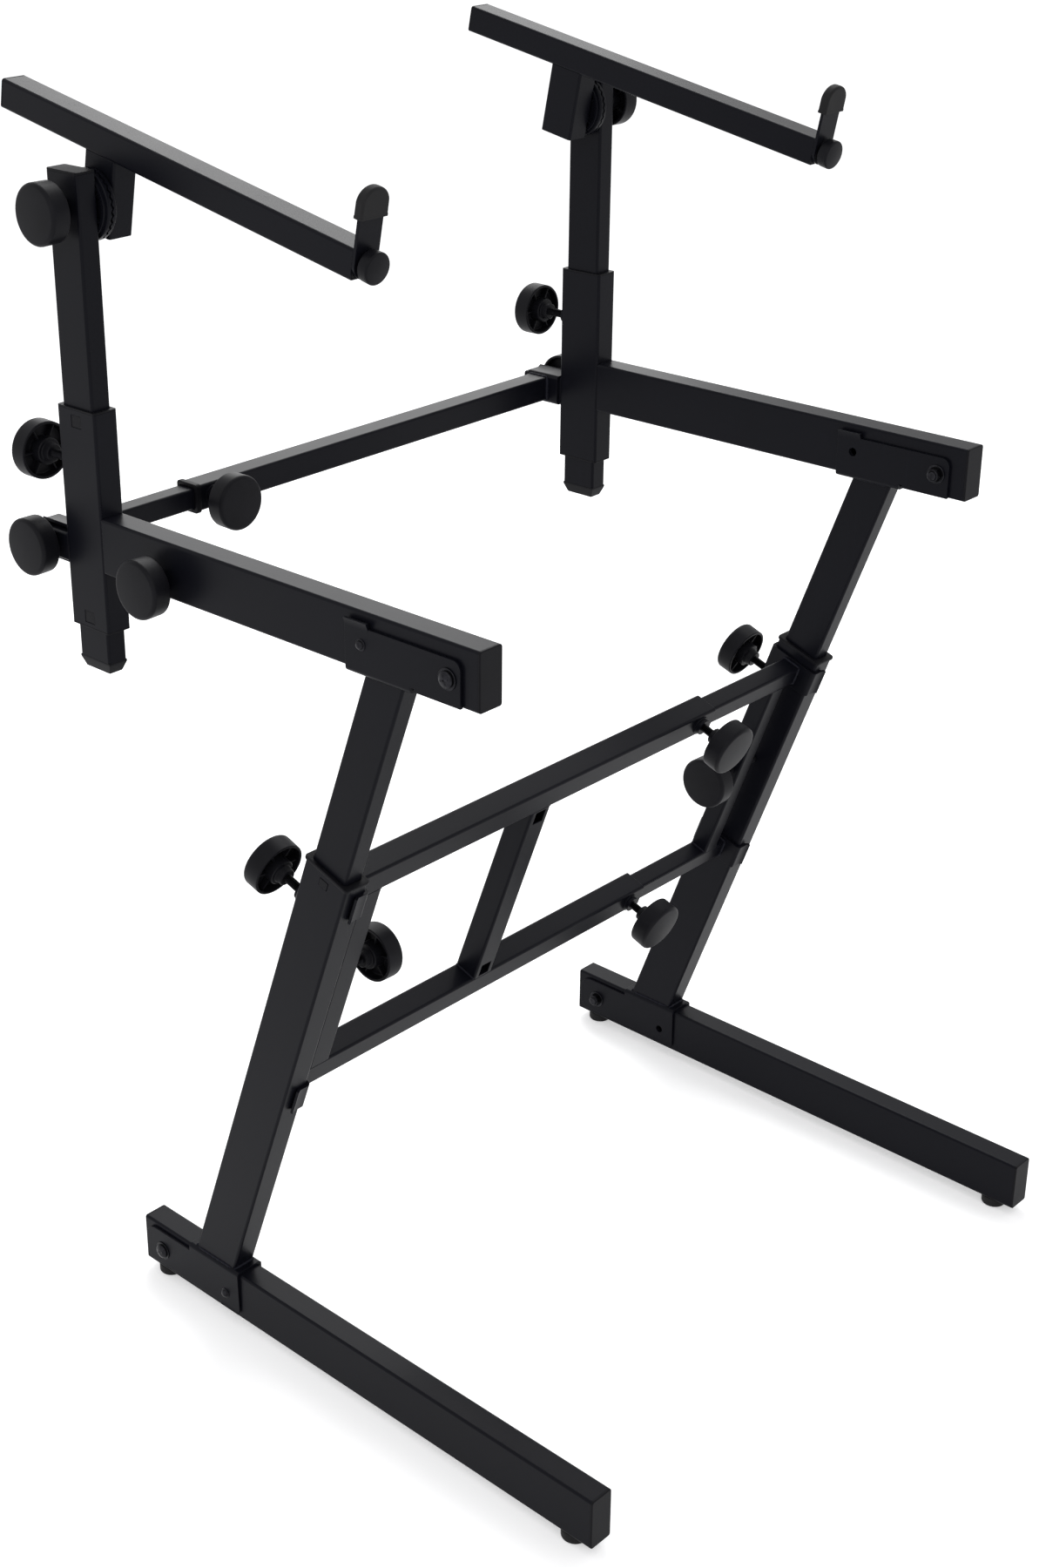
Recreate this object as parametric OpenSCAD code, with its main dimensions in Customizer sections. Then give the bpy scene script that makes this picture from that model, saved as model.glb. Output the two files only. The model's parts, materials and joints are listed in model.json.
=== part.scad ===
// Z-shaped keyboard stand with a second tier.
// Units are mm. +Z is up, the player stands on the -Y side and +X is the player's right.
// The origin is on the floor, below the centre of the stand's outline.

/* [Stand] */
// Width over the two side frames, outer face to outer face
stand_w = 679; // [630:1:780]
// Length of each base tube
base_len = 566; // [500:1:640]
// Height of the underside of the arm bracket above the base tube's underside
arm_h = 715.5; // [650:0.5:760]
// Lean of the legs towards the player, in degrees
leg_lean = 19.7; // [17:0.1:22]
// Length of the lower leg tube along its lean, from the base tube's underside
leg_low_len = 555; // [500:1:580]
// Length of each lower arm
arm_len = 436; // [380:1:500]

/* [Second tier] */
// Height of the tilt pivot above the base tube's underside
pivot_h = 1028; // [980:1:1060]
// Length of each upper arm
tier_len = 425; // [360:1:480]
// How far the upper arm runs in front of the tilt pivot
tier_fwd = 294.7; // [240:0.1:330]
// Slope of the upper arms down towards the player, in degrees
tier_tilt = 11.2; // [0:0.1:20]
// Height of the upright sleeve that holds the post
sleeve_h = 196; // [150:1:220]

/* [Tubes] */
// Width of the main tubes
tube_w = 25; // [24:0.5:30]
// Depth of the main tubes
tube_d = 50; // [46:0.5:56]
// Width of the sliding tubes
slide_w = 20; // [18:0.5:21]
// Depth of the sliding tubes
slide_d = 40; // [36:0.5:42]
// Wall of the tubes
wall = 1.5; // [1.2:0.1:2]
// Corner radius of the tubes
tube_r = 2.5; // [1.5:0.1:3]
// Side of the square tubes
bar_w = 25; // [24:0.5:28]
// Side of the square sliding tubes
slide_bar = 20; // [16:0.5:21]

/* [Cross frame] */
// Height of the upper cross bar along the leg
bar_up_s = 533; // [470:1:535]
// Height of the lower cross bar along the leg
bar_low_s = 297.5; // [220:0.5:340]
// Length of the outer cross bars
bar_out_len = 484; // [430:1:500]
// Length of the sliding cross bars
bar_in_len = 376; // [320:1:420]
// Length of the outer rear bar
rear_out_len = 487; // [430:1:500]
// Length of the sliding rear bar
rear_in_len = 372; // [320:1:420]
// Distance of the middle strut from the left clip
strut_x = 228; // [150:1:260]

/* [Brackets] */
// Thickness of the folded plates
plate_t = 3; // [2:0.1:4]
// Length of the foot bracket
foot_br_len = 133; // [120:1:150]
// Length of the arm bracket
arm_br_len = 122; // [110:1:140]
// Diameter of the pivot screws
pin_d = 8; // [6:0.5:9]

/* [Knobs] */
// Diameter of the clamp knobs
knob_d = 52; // [40:1:56]
// Thickness of the clamp knobs
knob_t = 18; // [14:0.5:20]
// Diameter of the clamp screws
screw_d = 8; // [6:0.5:8]
// Diameter of the small knob on the lip
lip_knob_d = 26; // [22:1:30]

/* [Fits] */
// Gap of sliding and turning fits, on each side
fit = 0.08; // [0.05:0.01:0.1]
// Gap round loose parts, on each side
loose = 0.2; // [0.15:0.01:0.3]

/* [Trim] */
// Height of the rubber feet
foot_h = 10; // [8:0.5:14]
// Diameter of the rubber feet
foot_d = 24; // [20:1:24]
// Thickness of the end caps outside the tube
cap_t = 2; // [1.5:0.1:4]
// Number of teeth round each tilt plate
teeth = 30; // [20:2:36]
// Diameter of the toothed tilt plates
disc_d = 54; // [44:1:60]

/* [Hidden] */
$fn = 48;
steel = [0.10, 0.10, 0.11];
plastic = [0.07, 0.07, 0.075];
rubber = [0.05, 0.05, 0.05];
zinc = [0.30, 0.30, 0.31];
cx = stand_w / 2 - tube_w / 2;
hw = tube_w / 2;
in_w = tube_w - 2 * wall;
in_d = tube_d - 2 * wall;
leg_y = -82.75;
// Leg top, at the underside of the arm bracket
top_y = leg_y - tan(leg_lean) * arm_h;
top_s = arm_h / cos(leg_lean);
low_s = leg_low_len;
leg_up_len = 430;
up_s = top_s - leg_up_len;
collar_s = low_s - 60;
leg_knob_s = low_s - 47;
frame_knob_s = (bar_up_s + bar_low_s) / 2;
// Lower arm
arm_z0 = arm_h + plate_t;
arm_zc = arm_z0 + tube_d / 2;
arm_y0 = top_y - 100;
arm_y1 = arm_y0 + arm_len;
arm_piv_y = top_y - 72;
arm_piv_z = arm_h + 24.5;
arm_lock_y = top_y + 19.5;
arm_lock_z = arm_h + 26.5;
arm_knob_y = arm_y1 - 76.5;
arm_knob_z = arm_zc - 12;
// The arm tube stops just short of the sleeve
arm_gap = 0.05;
// Foot bracket
foot_piv_y = -27;
foot_piv_z = 24;
foot_lock_y = -118;
foot_lock_z = 22;
foot_br_y = -3;
// Sleeve, post and rear bar
post_y = arm_y1 + tube_d / 2;
sleeve_z0 = arm_zc - 80;
sleeve_z1 = sleeve_z0 + sleeve_h;
post_z0 = sleeve_z0 - 31;
post_z1 = pivot_h + 29.6;
post_knob_z = sleeve_z1 - 50.5;
stub_y1 = arm_y1 + tube_d + 48;
rear_y = arm_y1 + tube_d + 27.5;
rear_z = arm_z0 + bar_w / 2;
stub_len = 150;
// Upper arm
tier_u = hw + plate_t + 9 + bar_w / 2;
disc_u0 = slide_w / 2;
disc_u1 = tier_u - bar_w / 2;
disc_t = (disc_u1 - disc_u0) / 2;
block_z0 = -26;
tier_z0 = 39.1;
tier_zc = tier_z0 + bar_w / 2;
tooth_h = 1.2;
lip_top = tier_zc + 52;
// Cross frame
bar_wall = (bar_w - slide_bar) / 2 - fit;
post_u = 40;
bar_knob_in = 19;
width_knob_x = bar_out_len - bar_knob_in;
rear_knob_x = rear_out_len - bar_knob_in;
// Place of the whole stand
y_front = -base_len - cap_t;
tier_rear = tier_len - tier_fwd + cap_t;
y_back = post_y + tier_rear * cos(tier_tilt) - tier_z0 * sin(tier_tilt);
y_mid = -(y_front + y_back) / 2;

// Places

module left() {
    translate([-cx, y_mid, foot_h]) children();
}

module right() {
    mirror([1, 0, 0]) left() children();
}

// Along the leaning leg: X across, -Y in front of the leg, Z up the leg
module on_leg() {
    translate([0, leg_y, 0]) rotate([leg_lean, 0, 0]) children();
}

// At the tilt pivot: Y along the upper arm, Z square to it
module on_tilt() {
    translate([0, post_y, pivot_h]) rotate([tier_tilt, 0, 0]) children();
}

// Turns a knob or pin so that it stands out along the given way
module out_x(sgn) {
    rotate([0, sgn * 90, 0]) children();
}

module out_front() {
    rotate([90, 0, 0]) children();
}

module out_back() {
    rotate([-90, 0, 0]) children();
}

// Shared shapes

module rrect(w, d, r) {
    square([w - 2 * r, d], center = true);
    square([w, d - 2 * r], center = true);
    for (sx = [-1, 1]) {
        for (sy = [-1, 1]) {
            translate([sx * (w / 2 - r), sy * (d / 2 - r)]) circle(r);
        }
    }
}

module tube_z(w, d, z0, z1, t) {
    translate([0, 0, z0]) linear_extrude(z1 - z0) difference() {
        rrect(w, d, tube_r);
        square([w - 2 * t, d - 2 * t], center = true);
    }
}

module solid_z(w, d, z0, z1, r) {
    translate([0, 0, z0]) linear_extrude(z1 - z0) rrect(w, d, r);
}

module tube_y(w, h, y0, y1, t) {
    rotate([-90, 0, 0]) tube_z(w, h, y0, y1, t);
}

module tube_x(w, h, x0, x1, t) {
    rotate([0, 90, 0]) tube_z(w, h, x0, x1, t);
}

module rod_x(r, x0, x1) {
    translate([x0, 0, 0]) rotate([0, 90, 0]) cylinder(r = r, h = x1 - x0);
}

// Plug for a tube end: a flange on the end and a body inside the tube
module plug_z(w, d, t, depth) {
    solid_z(w, d, 0, cap_t, tube_r);
    difference() {
        solid_z(w - 2 * t - 2 * fit, d - 2 * t - 2 * fit, -depth, 0.01, 1);
        solid_z(w - 2 * t - 5, d - 2 * t - 5, -depth - 1, -1.5, 1);
    }
}

// Weld nut standing on a tube face, with its threaded bore left plain
module weld_nut() {
    difference() {
        union() {
            cylinder(r = screw_d, h = 5);
            cylinder(r = screw_d + 1.6, h = 1.6);
        }
        translate([0, 0, -1]) cylinder(r = screw_d / 2 + fit, h = 8);
    }
}

module screw_hole(depth) {
    translate([0, 0, -depth]) cylinder(r = screw_d / 2 + fit, h = depth + 1);
}

// Clamp knob: a hollow round cup with ribs, a stepped hub and its screw.
// face is the height of the outer face over the tube, depth the screw's reach below it
// and low the height of the hub's end where a weld nut stands close under it.
module knob(face, depth, d, t, sd, low = 0.6) {
    r = d / 2;
    rim = face - t;
    hub1 = d * 0.23;
    hub2 = d * 0.16;
    end1 = max(rim - 4, low + 1.8);
    end2 = max(rim - 11, low);
    skin = t * 0.17;
    rotate_extrude() {
        translate([0, face - skin]) square([r - 3, skin]);
        translate([r - 3, face - 3]) circle(3);
        translate([0, face - skin]) square([r - 0.5, skin - 3 + 0.001 + (3 > skin ? 3 - skin + 0.001 : 0)]);
        translate([r - 3, rim]) square([3, t - 3]);
        translate([0, end1]) square([hub1, face - skin - end1 + 0.5]);
        translate([0, end2]) square([hub2, end1 - end2 + 0.5]);
        translate([0, -depth]) square([sd / 2, depth + end2 + 0.5]);
    }
    for (a = [0 : 60 : 359]) {
        rotate([0, 0, a]) translate([hub1 - 1, -0.8, rim + t * 0.2]) {
            cube([r - hub1 - 1, 1.6, t * 0.8 - skin + 0.3]);
        }
    }
}

// Folded U plate lying along Y: its web is on top when up is 1 and below when up is -1.
// inner is the gap between the side plates and wz the web's inner face.
module u_plate(inner, y0, y1, wz, h, up) {
    rad = plate_t + 1;
    w = inner + 2 * plate_t;
    translate([0, y1, wz]) rotate([90, 0, 0]) linear_extrude(y1 - y0) {
        difference() {
            union() {
                translate([-w / 2 + rad, (up > 0) ? 0 : -plate_t]) square([w - 2 * rad, plate_t]);
                for (s = [-1, 1]) {
                    translate([s * (w / 2 - rad), up * (plate_t - rad)]) circle(rad);
                    translate([s * (w / 2 - plate_t / 2) - plate_t / 2, (up > 0) ? -h : rad - plate_t]) {
                        square([plate_t, h + plate_t - rad]);
                    }
                }
            }
            translate([-inner / 2, (up > 0) ? -h - 1 : 0]) square([inner, h + 1]);
        }
    }
}

// Outward lip on the free edge of both side plates
module lips(inner, y0, y1, z0, dz) {
    for (s = [-1, 1]) {
        translate([0, y1, 0]) rotate([90, 0, 0]) linear_extrude(y1 - y0) polygon([
            [s * (inner / 2), z0],
            [s * (inner / 2 + plate_t), z0],
            [s * (inner / 2 + plate_t + 2.6), z0 + dz],
            [s * (inner / 2 + 2.4), z0 + dz]
        ]);
    }
}

// Pan-headed pivot screw along X with washers and a nut
module pivot_screw(u) {
    rod_x(pin_d / 2, -u - 1, u + 1);
    rod_x(9, -u - 1.2, -u);
    rod_x(9, u, u + 1.2);
    difference() {
        union() {
            rod_x(7, -u - 4, -u - 1.2);
            rod_x(5.6, -u - 5, -u - 4);
        }
        for (a = [0, 90]) {
            translate([-u - 4.6, 0, 0]) rotate([a, 0, 0]) cube([2.4, 5.6, 1.3], center = true);
        }
    }
    translate([u + 1.2, 0, 0]) rotate([0, 90, 0]) cylinder(r = 7, h = 6, $fn = 6);
}

// Spring lock button seen on the outer side plate
module lock_button(u) {
    rod_x(4, -u - 1, -u + plate_t);
    rod_x(5, -u - 0.8, -u);
    translate([-u - 0.8, 0, 0]) rotate([0, -90, 0]) rotate_extrude() intersection() {
        circle(3.8);
        square([4, 4]);
    }
}

// Base

module base_tube() {
    difference() {
        translate([0, 0, tube_d / 2]) tube_y(tube_w, tube_d, -base_len, 0, wall);
        translate([0, foot_piv_y, foot_piv_z]) rod_x(pin_d / 2 + fit, -hw - 1, hw + 1);
        for (y = [-19.5, -base_len + 26]) {
            translate([0, y, -1]) cylinder(r = 3 + fit, h = 4);
        }
        translate([0, foot_lock_y, foot_lock_z]) rod_x(4, -hw - 1, hw + 1);
    }
}

module base_caps() {
    translate([0, 0, tube_d / 2]) {
        rotate([-90, 0, 0]) plug_z(tube_w, tube_d, wall, 14);
        translate([0, -base_len, 0]) rotate([90, 0, 0]) plug_z(tube_w, tube_d, wall, 16);
    }
}

module base_feet() {
    for (y = [-19.5, -base_len + 26]) {
        translate([0, y, 0]) {
            rotate_extrude() {
                translate([0, -foot_h + 2]) square([foot_d / 2, foot_h - 2]);
                translate([0, -foot_h]) square([foot_d / 2 - 2, foot_h]);
                translate([foot_d / 2 - 2, -foot_h + 2]) circle(2);
                translate([0, -0.5]) square([3, 6]);
            }
        }
    }
}

// Leg

module foot_bracket() {
    y0 = foot_br_y - foot_br_len;
    u = hw + plate_t;
    difference() {
        u_plate(tube_w, y0, foot_br_y, tube_d, tube_d - 7, 1);
        translate([-u - 1, foot_br_y - 64, tube_d - 5]) cube([2 * u + 2, 65, 20]);
        translate([0, foot_piv_y, foot_piv_z]) rod_x(pin_d / 2 + fit, -u - 1, u + 1);
        translate([0, foot_lock_y, foot_lock_z]) rod_x(4 + fit, -u - 1, u + 1);
        // Rounded rear corner at the top of the side plates
        translate([0, foot_br_y - 13, tube_d - 18]) difference() {
            translate([-u - 1, 0, 0]) cube([2 * u + 2, 20, 20]);
            rod_x(13, -u - 2, u + 2);
        }
        translate([0, foot_br_y - 10, 17]) difference() {
            translate([-u - 1, 0, -20]) cube([2 * u + 2, 20, 20]);
            rod_x(10, -u - 2, u + 2);
        }
    }
    lips(tube_w, y0 + 1, y0 + 26, 8, -6.5);
}

module lower_leg() {
    foot_bracket();
    difference() {
        union() {
            difference() {
                on_leg() tube_z(tube_w, tube_d, 20, low_s, wall);
                translate([-50, -300, -50]) cube([100, 400, 50 + tube_d + plate_t / 2]);
            }
            on_leg() translate([0, tube_d / 2, leg_knob_s]) out_back() weld_nut();
        }
        on_leg() {
            translate([0, tube_d / 2, leg_knob_s]) out_back() screw_hole(6);
            translate([0, 0, frame_knob_s]) rod_x(screw_d / 2 + fit, hw - 4, hw + 2);
            translate([-hw - 1, -5, low_s - 13]) cube([4, 10, 8]);
        }
    }
}

module foot_pins() {
    u = hw + plate_t;
    translate([0, foot_piv_y, foot_piv_z]) pivot_screw(u);
    translate([0, foot_lock_y, foot_lock_z]) lock_button(u);
}

module leg_collar() {
    on_leg() difference() {
        union() {
            solid_z(tube_w + 3, tube_d + 3, low_s, low_s + 4, 3.5);
            solid_z(in_w - 2 * fit, in_d - 2 * fit, collar_s, low_s + 0.01, 0.5);
            translate([-hw + 0.3, -4.8, low_s - 12.8]) cube([3, 9.6, 7.6]);
        }
        solid_z(slide_w + 2 * fit, slide_d + 2 * fit, collar_s - 1, low_s + 5, tube_r);
        translate([0, tube_d / 2, leg_knob_s]) out_back() screw_hole(8);
    }
}

module arm_bracket() {
    y1 = top_y + 37;
    u = hw + plate_t;
    difference() {
        u_plate(tube_w, y1 - arm_br_len, y1, arm_z0, 38, -1);
        translate([-u - 1, y1 - arm_br_len - 1, arm_h - 2]) cube([2 * u + 2, arm_br_len - 69, plate_t + 2.2]);
        translate([-u - 1, y1 - 74, arm_h + 2]) cube([2 * u + 2, 4, 4]);
        translate([0, arm_piv_y, arm_piv_z]) rod_x(pin_d / 2 + fit, -u - 1, u + 1);
        translate([0, arm_lock_y, arm_lock_z]) rod_x(4 + fit, -u - 1, u + 1);
        translate([0, y1 - arm_br_len + 8, arm_z0 + 30]) difference() {
            translate([-u - 1, -20, 0]) cube([2 * u + 2, 20, 20]);
            rod_x(8, -u - 2, u + 2);
        }
    }
    lips(tube_w, y1 - 26, y1 - 1, arm_z0 + 36, 7);
}

module upper_leg() {
    arm_bracket();
    difference() {
        on_leg() tube_z(slide_w, slide_d, up_s, top_s + 30, wall);
        translate([-50, top_y - 200, arm_h + plate_t / 2]) cube([100, 400, 100]);
    }
}

module arm_pins() {
    u = hw + plate_t;
    translate([0, arm_piv_y, arm_piv_z]) pivot_screw(u);
    translate([0, arm_lock_y, arm_lock_z]) lock_button(u);
}

// Lower arm

module arm_tube() {
    difference() {
        union() {
            translate([0, 0, arm_zc]) tube_y(tube_w, tube_d, arm_y0, arm_y1 - arm_gap, wall);
            translate([-hw, arm_knob_y, arm_knob_z]) out_x(-1) weld_nut();
        }
        translate([0, arm_piv_y, arm_piv_z]) rod_x(pin_d / 2 + fit, -hw - 1, hw + 1);
        translate([0, arm_lock_y, arm_lock_z]) rod_x(4, -hw - 1, hw + 1);
        translate([-hw, arm_knob_y, arm_knob_z]) out_x(-1) screw_hole(4);
    }
}

module arm_cap() {
    translate([0, arm_y0, arm_zc]) rotate([90, 0, 0]) plug_z(tube_w, tube_d, wall, 16);
}

// Sleeve with its stub in the arm and its stub for the rear bar

module sleeve() {
    difference() {
        union() {
            translate([0, post_y, 0]) tube_z(tube_w, tube_d, sleeve_z0, sleeve_z1, wall);
            translate([0, 0, arm_zc]) {
                tube_y(in_w - 2 * loose, in_d - 2 * loose, arm_y1 - stub_len, arm_y1 + wall / 2, wall);
            }
            translate([0, 0, rear_z]) tube_y(bar_w, bar_w, post_y + tube_d / 2 - wall / 2, stub_y1, wall);
            translate([0, post_y + tube_d / 2, post_knob_z]) out_back() weld_nut();
        }
        translate([0, post_y + tube_d / 2, post_knob_z]) out_back() screw_hole(6);
        translate([0, rear_y, rear_z]) rod_x(screw_d / 2 + loose, -hw - 1, hw + 1);
        for (z = [sleeve_z0 + 3.5, sleeve_z1 - 15.5]) {
            translate([-hw - 1, post_y - 6.5, z]) cube([4, 13, 11]);
        }
    }
}

module sleeve_bushings() {
    translate([0, post_y, 0]) difference() {
        union() {
            solid_z(in_w - 2 * fit, in_d - 2 * fit, sleeve_z1 - 24, sleeve_z1 + 0.01, 0.5);
            solid_z(tube_w, tube_d, sleeve_z1, sleeve_z1 + 1.5, tube_r);
            solid_z(in_w - 2 * fit, in_d - 2 * fit, sleeve_z0 - 0.01, sleeve_z0 + 24, 0.5);
            solid_z(tube_w, tube_d, sleeve_z0 - 1.5, sleeve_z0, tube_r);
            for (z = [sleeve_z0 + 3.7, sleeve_z1 - 15.3]) {
                translate([-hw + 0.3, -6.3, z]) cube([3, 12.6, 10.6]);
            }
        }
        solid_z(slide_w + 2 * fit, slide_d + 2 * fit, sleeve_z0 - 5, sleeve_z1 + 5, tube_r);
    }
}

// Post with its toothed tilt plate

module toothed(flip) {
    // Round plate with its back at 0 and its tooth tips at disc_t
    tip = disc_t - 0.1;
    root = tip - tooth_h;
    difference() {
        cylinder(r = disc_d / 2, h = tip);
        translate([0, 0, -1]) cylinder(r = screw_d / 2 + loose, h = disc_t + 2);
        translate([0, 0, root - 1.4]) cylinder(r = disc_d / 2 - 7, h = 5);
        difference() {
            translate([0, 0, -1]) cylinder(r = disc_d / 2 - 3, h = 3.6);
            translate([0, 0, -2]) cylinder(r = 11, h = 6);
            for (a = [0 : 60 : 179]) {
                rotate([0, 0, a]) translate([-30, -1, -2]) cube([60, 2, 6]);
            }
        }
        for (a = [0 : 360 / teeth : 359.9]) {
            rotate([0, 0, a + flip * 180 / teeth]) translate([disc_d / 2 - 9, 0, root]) {
                rotate([90, 0, 90]) linear_extrude(12) polygon([
                    [0, 0], [PI * disc_d / teeth / 2.2, tooth_h + 1], [-PI * disc_d / teeth / 2.2, tooth_h + 1]
                ]);
            }
        }
    }
}

module post() {
    difference() {
        translate([0, post_y, 0]) tube_z(slide_w, slide_d, post_z0, post_z1, wall);
        translate([0, post_y, pivot_h]) rod_x(screw_d / 2 + loose, -20, 20);
    }
    translate([disc_u0, post_y, pivot_h]) rotate([0, 90, 0]) toothed(0);
}

module post_plugs() {
    translate([0, post_y, post_z1]) plug_z(slide_w, slide_d, wall, 12);
    translate([0, post_y, post_z0]) {
        solid_z(slide_w - 2 * wall - 2 * fit, slide_d - 2 * wall - 2 * fit, -0.01, 14, 1);
        intersection() {
            translate([50, 0, 0]) rotate([0, -90, 0]) linear_extrude(100) polygon([
                [0, -slide_d / 2], [-2, -slide_d / 2], [-11, -slide_d / 2 + 4],
                [-11, slide_d / 2 - 4], [-2, slide_d / 2], [0, slide_d / 2]
            ]);
            translate([0, 50, 0]) rotate([90, 0, 0]) linear_extrude(100) polygon([
                [-slide_w / 2, 0], [-slide_w / 2, -2], [-slide_w / 2 + 3, -11],
                [slide_w / 2 - 3, -11], [slide_w / 2, -2], [slide_w / 2, 0]
            ]);
        }
    }
}

// Upper arm with its tilt block

module tier_arm() {
    on_tilt() translate([tier_u, 0, 0]) difference() {
        union() {
            translate([0, 0, tier_zc]) tube_y(bar_w, bar_w, -tier_fwd, tier_len - tier_fwd, wall);
            tube_z(bar_w, 38, block_z0, tier_z0 + 0.8, 2);
            solid_z(bar_w, 38, block_z0, block_z0 + 2, tube_r);
        }
        rod_x(screw_d / 2 + fit, -hw - 3, 0);
    }
}

module tilt_plate() {
    on_tilt() translate([disc_u1, 0, 0]) rotate([0, -90, 0]) toothed(1);
}

module tier_plugs() {
    on_tilt() translate([tier_u, 0, tier_zc]) {
        translate([0, tier_len - tier_fwd, 0]) rotate([-90, 0, 0]) plug_z(bar_w, bar_w, wall, 14);
        translate([0, -tier_fwd, 0]) rotate([90, 0, 0]) difference() {
            solid_z(bar_w - 2 * wall - 2 * fit, bar_w - 2 * wall - 2 * fit, -20, 0, 1);
            translate([0, 0, -21]) cylinder(r = 3 + fit, h = 22);
        }
    }
}

// Lip strip at the front of the upper arm

module lip_strip() {
    on_tilt() translate([tier_u, -tier_fwd, tier_zc]) rotate([90, 0, 0]) difference() {
        linear_extrude(plate_t) {
            circle(bar_w / 2);
            translate([-bar_w / 2, 0]) square([bar_w, 46]);
            translate([-bar_w / 2 + 5, 40]) square([bar_w - 10, 10]);
            for (s = [-1, 1]) {
                translate([s * (bar_w / 2 - 5), 45]) circle(5);
            }
        }
        translate([0, 0, -1]) cylinder(r = 3 + loose, h = 10);
    }
}

module lip_boot() {
    on_tilt() translate([tier_u, -tier_fwd, tier_zc]) rotate([90, 0, 0]) difference() {
        union() {
            translate([0, 0, -3]) linear_extrude(plate_t + 6) {
                translate([-bar_w / 2 - 2.5, 32]) square([bar_w + 5, 14]);
                translate([-bar_w / 2 + 5, 40]) square([bar_w - 10, 20]);
                for (s = [-1, 1]) {
                    translate([s * (bar_w / 2 - 7.5), 46 + 4]) circle(10);
                    translate([s * (bar_w / 2 - 2.5) - 5, 36]) square([10, 14]);
                }
            }
        }
        translate([0, 0, -fit]) linear_extrude(plate_t + 2 * fit) {
            translate([-bar_w / 2 - fit, 30]) square([bar_w + 2 * fit, 15]);
            translate([-bar_w / 2 + 5, 40]) square([bar_w - 10, 10 + fit]);
            for (s = [-1, 1]) {
                translate([s * (bar_w / 2 - 5), 45]) circle(5 + fit);
            }
        }
    }
}

// Knobs

module leg_knob() {
    on_leg() translate([0, tube_d / 2, leg_knob_s]) out_back() {
        knob(51, (tube_d - slide_d) / 2 - 0.1, knob_d, knob_t, screw_d);
    }
}

module frame_knob(w) {
    on_leg() translate([post_u + w / 2, 0, frame_knob_s]) out_x(1) {
        knob(47, post_u + w / 2 - slide_w / 2 - 0.6, knob_d, knob_t, screw_d);
    }
}

module arm_knob() {
    translate([-hw, arm_knob_y, arm_knob_z]) out_x(-1) {
        knob(29.5, wall + loose - 0.1, knob_d, knob_t, screw_d, 5.4);
    }
}

module rear_knob() {
    translate([-hw, rear_y, rear_z]) out_x(-1) {
        knob(25, tube_w + plate_t + 6, knob_d, knob_t, screw_d);
    }
}

module post_knob() {
    translate([0, post_y + tube_d / 2, post_knob_z]) out_back() {
        knob(54, (tube_d - slide_d) / 2 - 0.1, knob_d, knob_t, screw_d);
    }
}

module tilt_knob() {
    translate([-slide_w / 2, post_y, pivot_h]) out_x(-1) {
        knob(30.5, tier_u + slide_w / 2 - 2, knob_d, knob_t, screw_d);
    }
}

module lip_knob() {
    on_tilt() translate([tier_u, -tier_fwd - plate_t, tier_zc]) out_front() {
        knob(13, 18, lip_knob_d, 10, 6);
    }
}

// Clip that hooks round the inner side of a leg
module leg_clip(s0) {
    u = hw + plate_t;
    translate([0, 0, s0 - 14]) linear_extrude(28) {
        difference() {
            union() {
                translate([2, -tube_d / 2 - plate_t]) square([u - 6, plate_t]);
                translate([2, tube_d / 2]) square([u - 6, plate_t]);
                translate([hw, -tube_d / 2 + 1]) square([plate_t, tube_d - 2]);
                for (s = [-1, 1]) {
                    translate([u - 4, s * (tube_d / 2 + plate_t - 4)]) circle(4);
                }
            }
            translate([-1, -tube_d / 2]) square([hw + 1, tube_d]);
        }
        for (s = [-1, 1]) {
            polygon([
                [2.1, s * (tube_d / 2)], [2.1, s * (tube_d / 2 + plate_t)],
                [-1.6, s * (tube_d / 2 + plate_t + 2.2)], [-2.2, s * (tube_d / 2 + 2.4)]
            ]);
        }
    }
}

// One end of the cross frame: two clips and the upright between the bars
module frame_end(w) {
    for (s = [bar_up_s, bar_low_s]) {
        leg_clip(s);
    }
    translate([post_u, 0, 0]) difference() {
        tube_z(w, w, bar_low_s + w / 2 - 1, bar_up_s - w / 2 + 1, wall);
        translate([0, 0, frame_knob_s]) rod_x(screw_d / 2 + loose, -20, 20);
    }
}

module cross_outer() {
    color(steel) left() on_leg() difference() {
        union() {
            frame_end(bar_w);
            for (s = [bar_up_s, bar_low_s]) {
                translate([0, 0, s]) tube_x(bar_w, bar_w, hw + plate_t - 1, hw + plate_t + bar_out_len, bar_wall);
                translate([hw + plate_t + width_knob_x, -bar_w / 2, s]) out_front() weld_nut();
            }
            translate([hw + plate_t + strut_x + bar_w / 2, 0, 0]) {
                tube_z(bar_w, bar_w, bar_low_s + bar_w / 2 - 1, bar_up_s - bar_w / 2 + 1, wall);
            }
        }
        for (s = [bar_up_s, bar_low_s]) {
            translate([hw + plate_t + width_knob_x, -bar_w / 2, s]) out_front() screw_hole(4);
        }
        for (s = [bar_up_s - bar_w / 2 - 15, bar_low_s + bar_w / 2 + 1]) {
            translate([hw + plate_t + strut_x + 6, -bar_w / 2 - 1, s]) cube([13, 4, 14]);
        }
        for (s = [bar_up_s, bar_low_s]) {
            translate([0, 0, s]) cube_bore(hw + plate_t + 0.5, hw + plate_t + bar_out_len + 1);
        }
    }
}

// Keeps the inside of the outer bars open for the sliding bars
module cube_bore(x0, x1) {
    a = slide_bar / 2 + fit;
    translate([x0, -a, -a]) cube([x1 - x0, 2 * a, 2 * a]);
}

module cross_inner() {
    color(steel) right() on_leg() union() {
        frame_end(slide_bar);
        for (s = [bar_up_s, bar_low_s]) {
            translate([0, 0, s]) tube_x(slide_bar, slide_bar, hw + plate_t - 1, hw + plate_t + bar_in_len, wall);
        }
    }
}

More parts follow.
